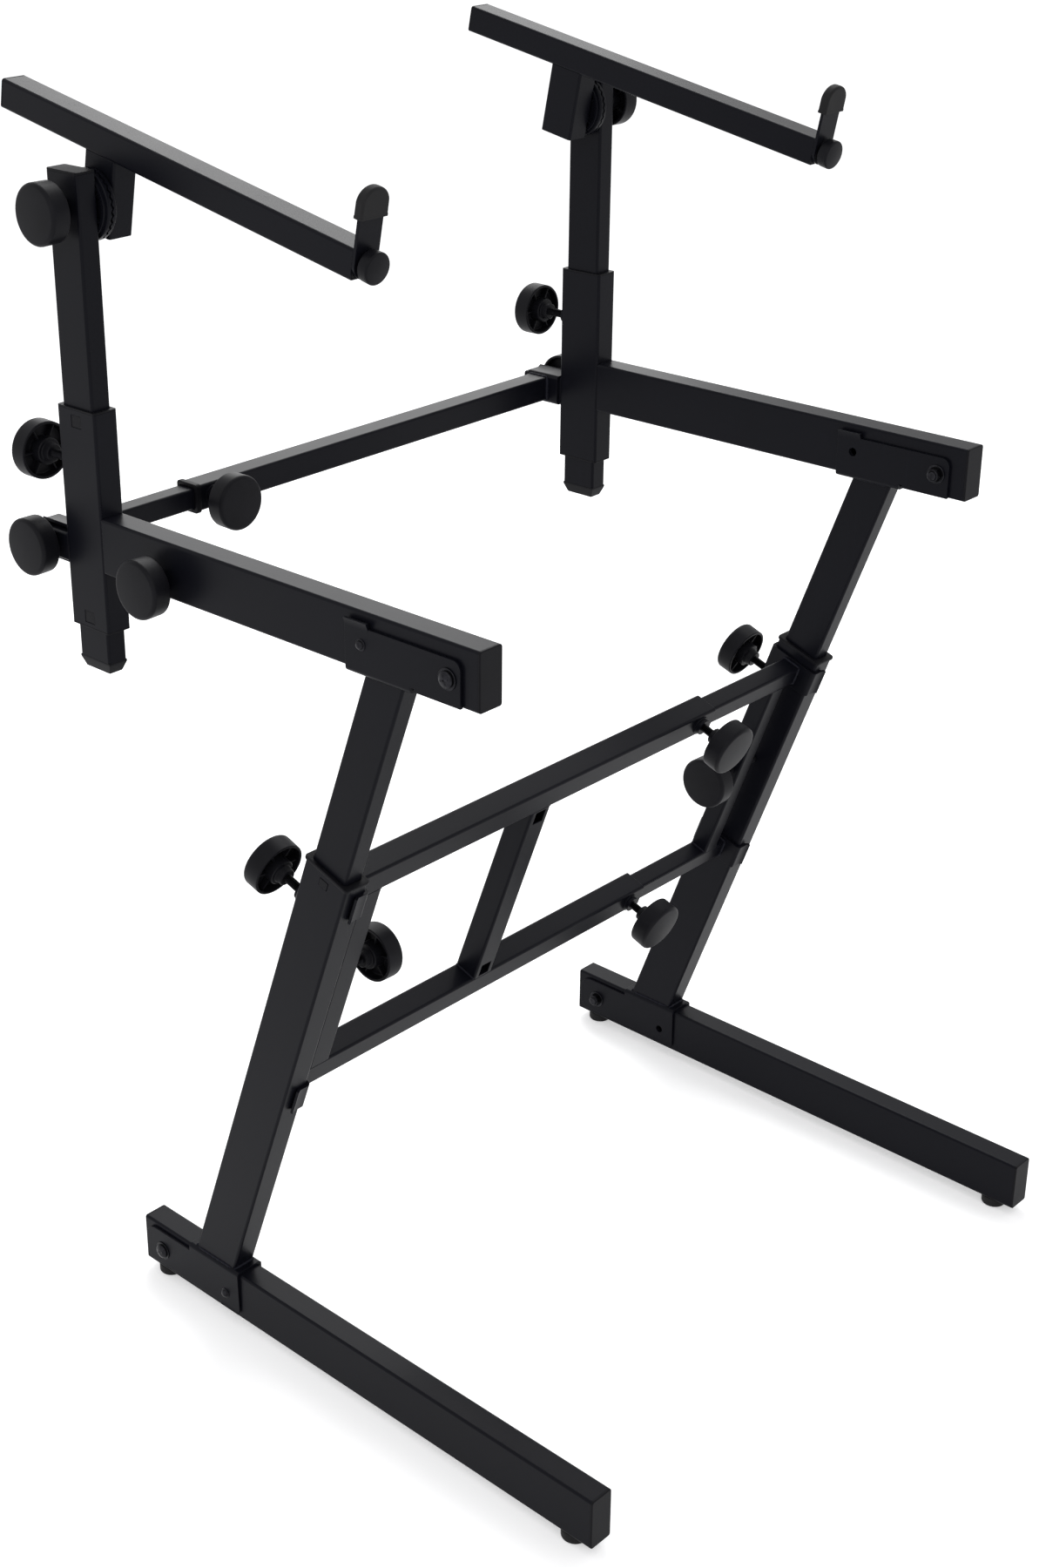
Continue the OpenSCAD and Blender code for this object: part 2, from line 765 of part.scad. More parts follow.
// Clip that hooks round the inner side of the stub behind a sleeve
module rear_clip() {
    u = hw + plate_t;
    translate([0, rear_y + 15, rear_z]) rotate([90, 0, 0]) linear_extrude(41) {
        difference() {
            union() {
                translate([-1, -bar_w / 2 - plate_t]) square([u - 3, plate_t]);
                translate([-1, bar_w / 2]) square([u - 3, plate_t]);
                translate([hw, -bar_w / 2 + 1]) square([plate_t, bar_w - 2]);
                for (s = [-1, 1]) {
                    translate([u - 4, s * (bar_w / 2 + plate_t - 4)]) circle(4);
                }
            }
            translate([-3, -bar_w / 2]) square([hw + 3, bar_w]);
        }
        for (s = [-1, 1]) {
            polygon([
                [-0.9, s * (bar_w / 2)], [-0.9, s * (bar_w / 2 + plate_t)],
                [-4.6, s * (bar_w / 2 + plate_t + 2.2)], [-5.2, s * (bar_w / 2 + 2.4)]
            ]);
        }
    }
}

module rear_bar_outer() {
    color(steel) right() difference() {
        union() {
            rear_clip();
            translate([0, rear_y, rear_z]) {
                tube_x(bar_w, bar_w, hw + plate_t - 1, hw + plate_t + rear_out_len, bar_wall);
            }
            translate([hw + plate_t + rear_knob_x, rear_y - bar_w / 2, rear_z]) out_front() weld_nut();
        }
        translate([0, rear_y, rear_z]) {
            rod_x(screw_d / 2 + fit, hw - 1, hw + plate_t + 4);
        }
        translate([0, rear_y, rear_z]) cube_bore(hw + plate_t + 0.5, hw + plate_t + rear_out_len + 1);
        translate([hw + plate_t + rear_knob_x, rear_y - bar_w / 2, rear_z]) out_front() screw_hole(4);
    }
}

module rear_bar_inner() {
    color(steel) left() difference() {
        union() {
            rear_clip();
            translate([0, rear_y, rear_z]) {
                tube_x(slide_bar, slide_bar, hw + plate_t - 1, hw + plate_t + rear_in_len, wall);
            }
        }
        translate([0, rear_y, rear_z]) {
            rod_x(screw_d / 2 + fit, hw - 1, hw + plate_t + 4);
        }
    }
}

module width_knob(s) {
    color(plastic) left() on_leg() translate([hw + plate_t + width_knob_x, -bar_w / 2, s]) out_front() {
        knob(45.5, bar_wall + fit - 0.1, knob_d, knob_t, screw_d);
    }
}

module upper_width_knob() {
    width_knob(bar_up_s);
}

module lower_width_knob() {
    width_knob(bar_low_s);
}

module rear_bar_knob() {
    color(plastic) right() translate([hw + plate_t + rear_knob_x, rear_y - bar_w / 2, rear_z]) out_front() {
        knob(39.5, bar_wall + fit - 0.1, knob_d, knob_t, screw_d);
    }
}

// Left side pieces

module left_base_tube() {
    color(steel) left() base_tube();
}

module left_base_caps() {
    color(plastic) left() base_caps();
}

module left_base_feet() {
    color(rubber) left() base_feet();
}

module left_foot_pins() {
    color(zinc) left() foot_pins();
}

module left_lower_leg() {
    color(steel) left() lower_leg();
}

module left_leg_collar() {
    color(plastic) left() leg_collar();
}

module left_upper_leg() {
    color(steel) left() upper_leg();
}

module left_arm_tube() {
    color(steel) left() arm_tube();
}

module left_arm_cap() {
    color(plastic) left() arm_cap();
}

module left_arm_pins() {
    color(zinc) left() arm_pins();
}

module left_sleeve() {
    color(steel) left() sleeve();
}

module left_sleeve_bushings() {
    color(plastic) left() sleeve_bushings();
}

module left_post() {
    color(steel) left() post();
}

module left_post_plugs() {
    color(plastic) left() post_plugs();
}

module left_tier_arm() {
    color(steel) left() tier_arm();
}

module left_tilt_plate() {
    color(steel) left() tilt_plate();
}

module left_tier_plugs() {
    color(plastic) left() tier_plugs();
}

module left_lip_strip() {
    color(steel) left() lip_strip();
}

module left_lip_boot() {
    color(rubber) left() lip_boot();
}

module left_leg_knob() {
    color(plastic) left() leg_knob();
}

module left_frame_knob() {
    color(plastic) left() frame_knob(bar_w);
}

module left_arm_knob() {
    color(plastic) left() arm_knob();
}

module left_rear_knob() {
    color(plastic) left() rear_knob();
}

module left_post_knob() {
    color(plastic) left() post_knob();
}

module left_tilt_knob() {
    color(plastic) left() tilt_knob();
}

module left_lip_knob() {
    color(plastic) left() lip_knob();
}

// Right side pieces, the mirror image of the left

module right_base_tube() {
    color(steel) right() base_tube();
}

module right_base_caps() {
    color(plastic) right() base_caps();
}

module right_base_feet() {
    color(rubber) right() base_feet();
}

module right_foot_pins() {
    color(zinc) right() foot_pins();
}

module right_lower_leg() {
    color(steel) right() lower_leg();
}

module right_leg_collar() {
    color(plastic) right() leg_collar();
}

module right_upper_leg() {
    color(steel) right() upper_leg();
}

module right_arm_tube() {
    color(steel) right() arm_tube();
}

module right_arm_cap() {
    color(plastic) right() arm_cap();
}

module right_arm_pins() {
    color(zinc) right() arm_pins();
}

module right_sleeve() {
    color(steel) right() sleeve();
}

module right_sleeve_bushings() {
    color(plastic) right() sleeve_bushings();
}

module right_post() {
    color(steel) right() post();
}

module right_post_plugs() {
    color(plastic) right() post_plugs();
}

module right_tier_arm() {
    color(steel) right() tier_arm();
}

module right_tilt_plate() {
    color(steel) right() tilt_plate();
}

module right_tier_plugs() {
    color(plastic) right() tier_plugs();
}

module right_lip_strip() {
    color(steel) right() lip_strip();
}

module right_lip_boot() {
    color(rubber) right() lip_boot();
}

module right_leg_knob() {
    color(plastic) right() leg_knob();
}

module right_frame_knob() {
    color(plastic) right() frame_knob(slide_bar);
}

module right_arm_knob() {
    color(plastic) right() arm_knob();
}

module right_rear_knob() {
    color(plastic) right() rear_knob();
}

module right_post_knob() {
    color(plastic) right() post_knob();
}

module right_tilt_knob() {
    color(plastic) right() tilt_knob();
}

module right_lip_knob() {
    color(plastic) right() lip_knob();
}

left_base_tube();
left_base_caps();
left_base_feet();
left_foot_pins();
left_lower_leg();
left_leg_collar();
left_upper_leg();
left_arm_tube();
left_arm_cap();
left_arm_pins();
left_sleeve();
left_sleeve_bushings();
left_post();
left_post_plugs();
left_tier_arm();
left_tilt_plate();
left_tier_plugs();
left_lip_strip();
left_lip_boot();
left_leg_knob();
left_frame_knob();
left_arm_knob();
left_rear_knob();
left_post_knob();
left_tilt_knob();
left_lip_knob();
right_base_tube();
right_base_caps();
right_base_feet();
right_foot_pins();
right_lower_leg();
right_leg_collar();
right_upper_leg();
right_arm_tube();
right_arm_cap();
right_arm_pins();
right_sleeve();
right_sleeve_bushings();
right_post();
right_post_plugs();
right_tier_arm();
right_tilt_plate();
right_tier_plugs();
right_lip_strip();
right_lip_boot();
right_leg_knob();
right_frame_knob();
right_arm_knob();
right_rear_knob();
right_post_knob();
right_tilt_knob();
right_lip_knob();
cross_outer();
cross_inner();
rear_bar_outer();
rear_bar_inner();
upper_width_knob();
lower_width_knob();
rear_bar_knob();
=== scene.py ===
"""Z keyboard stand: the looks that go round its fixed frame.

Every length is in metres, in the stand's own frame: +Z up, the player on the -Y side, the floor at Z = 0.
"""

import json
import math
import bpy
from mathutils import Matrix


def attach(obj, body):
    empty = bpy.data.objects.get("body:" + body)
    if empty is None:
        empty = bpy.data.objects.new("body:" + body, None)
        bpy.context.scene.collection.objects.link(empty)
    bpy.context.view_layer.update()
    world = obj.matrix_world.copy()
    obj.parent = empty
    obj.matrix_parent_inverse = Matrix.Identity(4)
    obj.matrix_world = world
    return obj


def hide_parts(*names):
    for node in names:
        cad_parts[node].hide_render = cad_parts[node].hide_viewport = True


bl_info = {
    "name": "Z Keyboard Stand",
    "version": (1, 0, 0),
    "blender": (4, 5, 0),
    "location": "View3D > Sidebar > Keyboard Stand",
    "description": "Dresses the frame of a two-tier Z keyboard stand",
    "category": "Object",
}

import bmesh
import bpy
from mathutils import Matrix, Vector

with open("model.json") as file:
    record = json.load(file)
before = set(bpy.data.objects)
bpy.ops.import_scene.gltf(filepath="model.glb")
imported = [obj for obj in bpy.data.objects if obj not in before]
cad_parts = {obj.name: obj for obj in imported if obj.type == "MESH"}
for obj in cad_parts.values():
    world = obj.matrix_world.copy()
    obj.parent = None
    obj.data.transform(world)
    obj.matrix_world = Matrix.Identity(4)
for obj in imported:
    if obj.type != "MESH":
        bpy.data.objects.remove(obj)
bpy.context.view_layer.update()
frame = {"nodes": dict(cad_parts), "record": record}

MM = 0.001
SIDES = (("left", -1), ("right", 1))


# The stand's sizes


class StandSizes(bpy.types.PropertyGroup):
    """Sizes of the pieces that are modelled here"""

    knob_width: bpy.props.FloatProperty(
        name="Knob diameter", description="Diameter of the clamp knobs", default=0.052, unit="LENGTH"
    )
    knob_depth: bpy.props.FloatProperty(
        name="Knob thickness", description="Thickness of the clamp knobs", default=0.018, unit="LENGTH"
    )
    knob_dome: bpy.props.FloatProperty(
        name="Knob dome", description="Rise of a knob's face at its middle", default=0.0009, unit="LENGTH"
    )
    thread_pitch: bpy.props.FloatProperty(
        name="Thread pitch", description="Distance between the threads of a clamp screw", default=0.00125,
        unit="LENGTH",
    )
    tube_corner: bpy.props.FloatProperty(
        name="Tube corner", description="Corner radius of the tubes and their caps", default=0.0025,
        unit="LENGTH",
    )


class StandFinishes(bpy.types.PropertyGroup):
    """Colours and lights"""

    coat: bpy.props.FloatVectorProperty(
        name="Powder coat", description="Colour of the coated steel", subtype="COLOR", size=3,
        min=0, max=1, default=(0.0048, 0.0050, 0.0078),
    )
    plastic: bpy.props.FloatVectorProperty(
        name="Plastic", description="Colour of caps, collars and knobs", subtype="COLOR", size=3,
        min=0, max=1, default=(0.0044, 0.0044, 0.0058),
    )
    rubber: bpy.props.FloatVectorProperty(
        name="Rubber", description="Colour of feet and boots", subtype="COLOR", size=3,
        min=0, max=1, default=(0.0090, 0.0088, 0.0095),
    )
    screw: bpy.props.FloatVectorProperty(
        name="Screws", description="Colour of the dark plated screws", subtype="COLOR", size=3,
        min=0, max=1, default=(0.020, 0.020, 0.023),
    )
    world_light: bpy.props.FloatProperty(
        name="Room light", description="Strength of the even light of the room", default=0.85
    )
    key_light: bpy.props.FloatProperty(
        name="Key light", description="Power of the large soft lamp", default=40.0, unit="POWER"
    )


# Where things are: the same plan as the frame, with u across a side frame from its middle, outwards below 0

LEAN = math.radians(19.7)
TILT = math.radians(11.2)
MIDDLE = 327.0
FORE_AFT = 211.875
FOOT = 10.0
LEG_Y = -82.75
ARM_H = 715.5
TOP_Y = LEG_Y - math.tan(LEAN) * ARM_H
TOP_S = ARM_H / math.cos(LEAN)
ARM_Z = ARM_H + 28.0
ARM_Y0 = TOP_Y - 100.0
ARM_Y1 = ARM_Y0 + 436.0
POST_Y = ARM_Y1 + 25.0
SLEEVE_Z0 = ARM_Z - 80.0
SLEEVE_Z1 = SLEEVE_Z0 + 196.0
REAR_Y = ARM_Y1 + 77.5
REAR_Z = ARM_H + 15.5
PIVOT_Z = 1028.0
TIER_U = 37.0
TIER_Z = 51.6
TIER_FWD = 294.7
TIER_BACK = 130.3
BASE_LEN = 566.0
LEG_TOP = 555.0
BAR_S = (533.0, 297.5)
BAR_END = 15.5 + 484.0
REAR_END = 15.5 + 487.0


def at(side, u, y, z):
    """A place on a side frame, with its axes as rows of a matrix: X outwards to inwards, Y back, Z up."""
    flip = Matrix.Diagonal((-side, 1, 1, 1))
    return Matrix.Translation((side * MIDDLE * MM, FORE_AFT * MM, FOOT * MM)) @ flip @ Matrix.Translation(
        Vector((u, y, z)) * MM
    )


def on_leg(side, u, y, s):
    return at(side, 0, LEG_Y, 0) @ Matrix.Rotation(LEAN, 4, "X") @ Matrix.Translation(Vector((u, y, s)) * MM)


def on_tier(side, u, y, z):
    return at(side, 0, POST_Y, PIVOT_Z) @ Matrix.Rotation(TILT, 4, "X") @ Matrix.Translation(
        Vector((u, y, z)) * MM
    )


OUT_LEFT = Matrix.Rotation(math.radians(-90), 4, "Y")
OUT_RIGHT = Matrix.Rotation(math.radians(90), 4, "Y")
OUT_FRONT = Matrix.Rotation(math.radians(90), 4, "X")
OUT_BACK = Matrix.Rotation(math.radians(-90), 4, "X")


# Materials


class Value:
    """A number that varies over a surface. Arithmetic on it adds Math nodes."""

    def __init__(self, paint, socket):
        self.paint = paint
        self.socket = socket

    def _sum(self, kind, a, b):
        return self.paint.node("ShaderNodeMath", {"operation": kind}, {0: a, 1: b}, 0)

    def __add__(self, other):
        return self._sum("ADD", self, other)

    def __radd__(self, other):
        return self._sum("ADD", other, self)

    def __sub__(self, other):
        return self._sum("SUBTRACT", self, other)

    def __rsub__(self, other):
        return self._sum("SUBTRACT", other, self)

    def __mul__(self, other):
        return self._sum("MULTIPLY", self, other)

    def __rmul__(self, other):
        return self._sum("MULTIPLY", other, self)

    def __truediv__(self, other):
        return self._sum("DIVIDE", self, other)

    def __pow__(self, other):
        return self._sum("POWER", self, other)


class Paint:
    """One material and its node tree."""

    def __init__(self, name):
        self.material = bpy.data.materials.new(name)
        self.material.use_nodes = True
        self.tree = self.material.node_tree
        self.tree.nodes.clear()
        self.place = self.node("ShaderNodeTexCoord", {}, {}, "Object").socket

    def node(self, kind, settings, inputs, output=None):
        made = self.tree.nodes.new(kind)
        for key, value in settings.items():
            if key == "stops":
                ramp = made.color_ramp
                while len(ramp.elements) > 1:
                    ramp.elements.remove(ramp.elements[-1])
                for i, (place, shade) in enumerate(value):
                    stop = ramp.elements[0] if i == 0 else ramp.elements.new(place)
                    stop.position = place
                    stop.color = (shade, shade, shade, 1)
            else:
                setattr(made, key, value)
        for key, value in inputs.items():
            socket = made.inputs[key]
            if isinstance(value, Value):
                self.tree.links.new(value.socket, socket)
            elif isinstance(value, bpy.types.NodeSocket):
                self.tree.links.new(value, socket)
            else:
                socket.default_value = value
        return made if output is None else Value(self, made.outputs[output])

    def noise(self, scale, detail=4.0, rough=0.55, stretch=(1, 1, 1)):
        """Cloudy noise from 0 to 1; scale is in cycles per metre."""
        spot = self.node("ShaderNodeMapping", {}, {"Vector": self.place, "Scale": stretch}, "Vector")
        return self.node(
            "ShaderNodeTexNoise", {}, {"Vector": spot, "Scale": scale, "Detail": detail, "Roughness": rough}, "Fac"
        )

    def ramp(self, value, low, high, a=0.0, b=1.0):
        """value taken from low..high to a..b, held at both ends."""
        return self.node(
            "ShaderNodeMapRange", {"clamp": True},
            {"Value": value, "From Min": low, "From Max": high, "To Min": a, "To Max": b}, "Result",
        )

    def tint(self, mask, low, high):
        """Colour low where mask is 0 and high where it is 1."""
        return self.node(
            "ShaderNodeMix", {"data_type": "RGBA"},
            {"Factor": mask, "A": (*low, 1), "B": (*high, 1)}, 2,
        )

    def bump(self, height, depth, strength=1.0):
        return self.node(
            "ShaderNodeBump", {}, {"Height": height, "Distance": depth, "Strength": strength}, "Normal"
        )

    def surface(self, **inputs):
        shader = self.node("ShaderNodeBsdfPrincipled", {}, {k.replace("_", " "): v for k, v in inputs.items()})
        self.node("ShaderNodeOutputMaterial", {}, {"Surface": shader.outputs["BSDF"]})
        return self.material


def shade(colour, factor):
    return tuple(min(1.0, c * factor) for c in colour)


def coated_steel(name, colour, rubbed=False):
    """Satin black powder coat: fine orange peel, faint clouding, a few handling scuffs."""
    p = Paint(name)
    peel = p.noise(420, 3.0, 0.6)
    cloud = p.noise(9, 4.0, 0.6)
    scuff = p.ramp(p.noise(34, 6.0, 0.72), 0.63, 0.78)
    speck = p.ramp(p.noise(1300, 1.0, 0.5), 0.68, 0.80)
    tone = cloud * 0.5 + scuff * 0.35 + speck * 0.25
    height = peel * 1.0 + speck * 0.2
    rough = 0.30 + cloud * 0.08 + scuff * 0.10
    if rubbed:
        streak = p.ramp(p.noise(210, 4.0, 0.6, (1, 1, 0.03)), 0.58, 0.74)
        tone = tone + streak * 0.25
        rough = rough + streak * 0.07
    return p.surface(
        Base_Color=p.tint(p.ramp(tone, 0.1, 1.1), shade(colour, 0.8), shade(colour, 1.6)),
        Roughness=rough, Specular_IOR_Level=0.075, Normal=p.bump(height, 0.000015, 0.4),
    )


def moulded_plastic(name, colour, gloss=0.46):
    """Black nylon with a spark-eroded grain."""
    p = Paint(name)
    grain = p.noise(1500, 2.0, 0.6)
    flow = p.noise(46, 3.0, 0.5)
    dust = p.ramp(p.noise(330, 5.0, 0.7), 0.62, 0.8)
    return p.surface(
        Base_Color=p.tint(p.ramp(flow + dust * 0.5, 0.3, 1.2), shade(colour, 0.9), shade(colour, 1.9)),
        Roughness=gloss + flow * 0.08 + dust * 0.1, Specular_IOR_Level=0.09,
        Normal=p.bump(grain + dust * 0.3, 0.00004, 0.45),
    )


def soft_rubber(name, colour):
    """Matt black rubber with a dusty bloom."""
    p = Paint(name)
    grain = p.noise(1100, 3.0, 0.65)
    bloom = p.ramp(p.noise(60, 4.0, 0.6), 0.42, 0.72)
    return p.surface(
        Base_Color=p.tint(bloom, shade(colour, 0.9), shade(colour, 1.8)),
        Roughness=0.58 + bloom * 0.16, Specular_IOR_Level=0.16,
        Normal=p.bump(grain, 0.00006, 0.5),
    )


def plated_steel(name, colour, tarnish=0.5):
    """Dark zinc-plated screw steel with stains and fine pits."""
    p = Paint(name)
    stain = p.ramp(p.noise(240, 4.0, 0.65), 0.35, 0.75)
    pit = p.noise(1800, 2.0, 0.6)
    return p.surface(
        Base_Color=p.tint(stain, shade(colour, 1.25), shade(colour, tarnish)),
        Metallic=1.0, Roughness=0.28 + stain * 0.22, Normal=p.bump(pit, 0.00003, 0.4),
    )


FINISH = {}


def make_finishes():
    looks = bpy.context.scene.stand_finishes
    coat, plastic = tuple(looks.coat), tuple(looks.plastic)
    FINISH["coat"] = coated_steel("black_powder_coat", coat)
    FINISH["rubbed"] = coated_steel("black_powder_coat_sliding", shade(coat, 0.95), rubbed=True)
    # The weld coat is the powder coat painted 2.2 times lighter: painted glints standing in for the light that the
    # rough spatter catches.
    FINISH["weld"] = coated_steel("black_powder_coat_weld_painted_glint", shade(coat, 2.2))
    FINISH["plastic"] = moulded_plastic("black_moulded_plastic", plastic)
    FINISH["knob"] = moulded_plastic("black_knob_plastic", shade(plastic, 1.15), 0.40)
    FINISH["rubber"] = soft_rubber("black_rubber", tuple(looks.rubber))
    FINISH["screw"] = plated_steel("dark_plated_steel", tuple(looks.screw))
    # The darker thread steel colours the knob screws and also the cross recesses of the pan heads, where it is painted
    # shade of the recess.
    FINISH["thread_and_recess_shade"] = plated_steel("black_thread_steel_and_recess_shade", shade(tuple(looks.screw), 0.45), 0.6)


# Shared shapes


def piece(name, shape, place, body, slot, *finishes, hides=()):
    """Turns a shape into a finished piece that rides on a body. place carries it into the stand."""
    shape.transform(place)
    bmesh.ops.recalc_face_normals(shape, faces=shape.faces)
    mesh = bpy.data.meshes.new(name)
    shape.to_mesh(mesh)
    shape.free()
    made = bpy.data.objects.new(name, mesh)
    bpy.context.scene.collection.objects.link(made)
    for finish in finishes:
        mesh.materials.append(FINISH[finish])
    mesh.shade_smooth()
    mesh.set_sharp_from_angle(angle=math.radians(34))
    crisp = made.modifiers.new("crisp", "WEIGHTED_NORMAL")
    crisp.keep_sharp = True
    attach(made, body)
    if hides:
        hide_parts(*hides)
    return made


def spun(profile, steps=48, closed=False):
    """A turned shape: profile is a list of (radius, height) in mm."""
    shape = bmesh.new()
    points = [shape.verts.new((max(r, 0.0) * MM, 0, z * MM)) for r, z in profile]
    edges = [shape.edges.new(pair) for pair in zip(points, points[1:])]
    if closed:
        edges.append(shape.edges.new((points[-1], points[0])))
    bmesh.ops.spin(
        shape, geom=points + edges, axis=(0, 0, 1), cent=(0, 0, 0), steps=steps, angle=math.tau, use_merge=True
    )
    bmesh.ops.remove_doubles(shape, verts=shape.verts, dist=1e-7)
    bmesh.ops.recalc_face_normals(shape, faces=shape.faces)
    return shape


def block(w, d, h, round_up=0.0, round_top=0.0, steps=3):
    """A block standing on Z = 0, its upright edges rounded by round_up and its top edge by round_top, in mm."""
    shape = bmesh.new()
    bmesh.ops.create_cube(shape, size=1.0)
    bmesh.ops.scale(shape, vec=(w * MM, d * MM, h * MM), verts=shape.verts)
    bmesh.ops.translate(shape, vec=(0, 0, h * MM / 2), verts=shape.verts)
    if round_up:
        upright = [e for e in shape.edges if abs(e.verts[0].co.z - e.verts[1].co.z) > h * MM / 2]
        bmesh.ops.bevel(
            shape, geom=upright, offset=round_up * MM, offset_type="OFFSET", segments=steps, affect="EDGES",
            profile=0.5, material=-1,
        )
    if round_top:
        rim = [e for e in shape.edges if min(v.co.z for v in e.verts) > h * MM - 1e-6]
        bmesh.ops.bevel(
            shape, geom=rim, offset=round_top * MM, offset_type="OFFSET", segments=steps, affect="EDGES",
            profile=0.5, material=-1,
        )
    return shape


def merged(*parts):
    """Several (shape, place, finish index) in one shape."""
    whole = bmesh.new()
    for shape, place, index in parts:
        shape.transform(place)
        for face in shape.faces:
            face.material_index = index
        step = bpy.data.meshes.new("step")
        shape.to_mesh(step)
        shape.free()
        whole.from_mesh(step)
        bpy.data.meshes.remove(step)
    return whole


def shift(x, y, z):
    return Matrix.Translation((x * MM, y * MM, z * MM))


def arc(cx, cz, r, start, end, steps):
    """Points of an arc, in mm and degrees."""
    return [
        (cx + r * math.cos(math.radians(start + (end - start) * i / steps)),
         cz + r * math.sin(math.radians(start + (end - start) * i / steps)))
        for i in range(steps + 1)
    ]


# Knobs


def knob_shape(face, depth, wide, thick, screw, low=0.6):
    """A hollow clamp knob with ribs and a stepped hub, on its threaded screw. Z = 0 is the tube's face."""
    sizes = bpy.context.scene.stand_sizes
    dome = sizes.knob_dome / MM
    r, rim = wide / 2, face - thick
    hub, neck = wide * 0.23, wide * 0.16
    end1, end2 = max(rim - 4, low + 1.8), max(rim - 11, low)
    floor = rim + thick * 0.46
    edge = thick * 0.19
    crown = [(r * f, face + dome * (1 - (f * r / (r - edge)) ** 2)) for f in (0.0, 0.22, 0.44, 0.62, 0.76)]
    outer = crown + arc(r - edge, face - edge, edge, 90, 0, 6)
    outer += [(r - 0.12, rim + thick * 0.4), (r - 0.25, rim + 0.8)]
    outer += arc(r - 1.25, rim + 0.9, 1.0, 0, -90, 3)
    outer += [(r - 2.4, rim), (r - 2.7, rim + 0.4), (r - 3.0, floor - 1.6)]
    outer += arc(r - 4.6, floor - 1.6, 1.6, 0, 90, 3)
    outer += [(hub + 1.2, floor)] + arc(hub + 1.2, floor - 1.2, -1.2, -90, 0, 2)[1:]
    outer += [(hub, end1 + 0.8), (hub - 0.8, end1), (neck + 0.9, end1 - 0.1), (neck + 0.1, end1 - 0.8)]
    outer += [(neck - 0.5, end2 + 0.6), (neck - 1.1, end2), (screw / 2 - 0.3, end2)]
    body = spun(outer, 56)
    parts = [(body, Matrix.Identity(4), 0)]
    rib_low = rim + thick * 0.14
    for k in range(6):
        rib = block(r - hub - 2.2, 1.7, floor + 0.4 - rib_low, 0.0, 0.0)
        rib.transform(shift((r + hub) / 2 - 0.6, 0, rib_low))
        top = [e for e in rib.edges if all(abs(v.co.z - rib_low * MM) < 1e-7 for v in e.verts)]
        bmesh.ops.bevel(
            rib, geom=top, offset=0.5 * MM, offset_type="OFFSET", segments=2, affect="EDGES", profile=0.5,
            material=-1,
        )
        parts.append((rib, Matrix.Rotation(k * math.tau / 6, 4, "Z"), 0))
    pitch = sizes.thread_pitch / MM
    crest, root = screw / 2, screw / 2 - pitch * 0.5
    threads = [(0.0, -depth), (root - 0.6, -depth)]
    count = max(2, int((depth + end2 + 1) / pitch))
    for k in range(count):
        z = -depth + 0.5 + k * pitch
        threads += [(root, z), (crest, z + pitch * 0.42), (crest, z + pitch * 0.58)]
    threads += [(root, -depth + 0.5 + count * pitch), (0.0, -depth + 0.5 + count * pitch)]
    parts.append((spun(threads, 28), Matrix.Identity(4), 1))
    return merged(*parts)


def knob_plan(side):
    """Name, body and place of each side knob, with its face height, screw reach, width, thickness and screw."""
    upright = 52.5 if side < 0 else 50.0
    mid = (BAR_S[0] + BAR_S[1]) / 2
    return (
        ("leg_knob", on_leg(side, 0, 25, LEG_TOP - 47) @ OUT_BACK, 51, 4.9, 1, 18, 8),
        ("frame_knob", on_leg(side, upright, 0, mid) @ OUT_RIGHT, 47, upright - 10.6, 1, 18, 8),
        ("arm_knob", at(side, -12.5, ARM_Y1 - 76.5, ARM_Z - 12) @ OUT_LEFT, 29.5, 1.6, 1, 18, 8),
        ("rear_knob", at(side, -12.5, REAR_Y, REAR_Z) @ OUT_LEFT, 25, 34, 1, 18, 8),
        ("post_knob", at(side, 0, POST_Y + 25, SLEEVE_Z1 - 50.5) @ OUT_BACK, 54, 4.9, 1, 18, 8),
        ("tilt_knob", at(side, -10, POST_Y, PIVOT_Z) @ OUT_LEFT, 30.5, 45, 1, 18, 8),
        ("lip_knob", on_tier(side, TIER_U, -TIER_FWD - 3, TIER_Z) @ OUT_FRONT, 13, 18, 0.5, 10, 6),
    )


class STAND_OT_knobs(bpy.types.Operator):
    """Model the clamp knobs with their ribs, hubs and threaded screws"""

    bl_idname = "stand.knobs"
    bl_label = "Clamp Knobs"

    def execute(self, context):
        wide = context.scene.stand_sizes.knob_width / MM
        for side_name, side in SIDES:
            for kind, place, face, depth, share, thick, screw in knob_plan(side):
                name = f"{side_name}_{kind}"
                low = 5.4 if kind == "arm_knob" else 0.6
                shape = knob_shape(face, depth, wide * share, thick, screw, low)
                piece(name + "_ribbed", shape, place, name, "knob_plastic", "knob", "thread_and_recess_shade", hides=[name])
        for name, s in (("upper_width_knob", BAR_S[0]), ("lower_width_knob", BAR_S[1])):
            place = on_leg(-1, BAR_END - 19, -12.5, s) @ OUT_FRONT
            shape = knob_shape(45.5, 2.4, wide, 18, 8)
            piece(name + "_ribbed", shape, place, name, "knob_plastic", "knob", "thread_and_recess_shade", hides=[name])
        place = at(1, REAR_END - 19, REAR_Y - 12.5, REAR_Z) @ OUT_FRONT
        piece(
            "rear_bar_knob_ribbed", knob_shape(39.5, 2.4, wide, 18, 8), place, "rear_bar_knob", "knob_plastic",
            "knob", "thread_and_recess_shade", hides=["rear_bar_knob"],
        )
        return {"FINISHED"}


# Caps, collars and plugs


def cap_shape(w, d, thick, depth, bore):
    """An end cap: a rounded flange on the tube's end and a plug inside it."""
    corner = bpy.context.scene.stand_sizes.tube_corner / MM
    return merged(
        (block(w, d, thick, corner, min(1.1, thick * 0.55), 4), Matrix.Identity(4), 0),
        (block(bore[0], bore[1], depth, 1.0, 0.0), shift(0, 0, -depth), 0),
    )


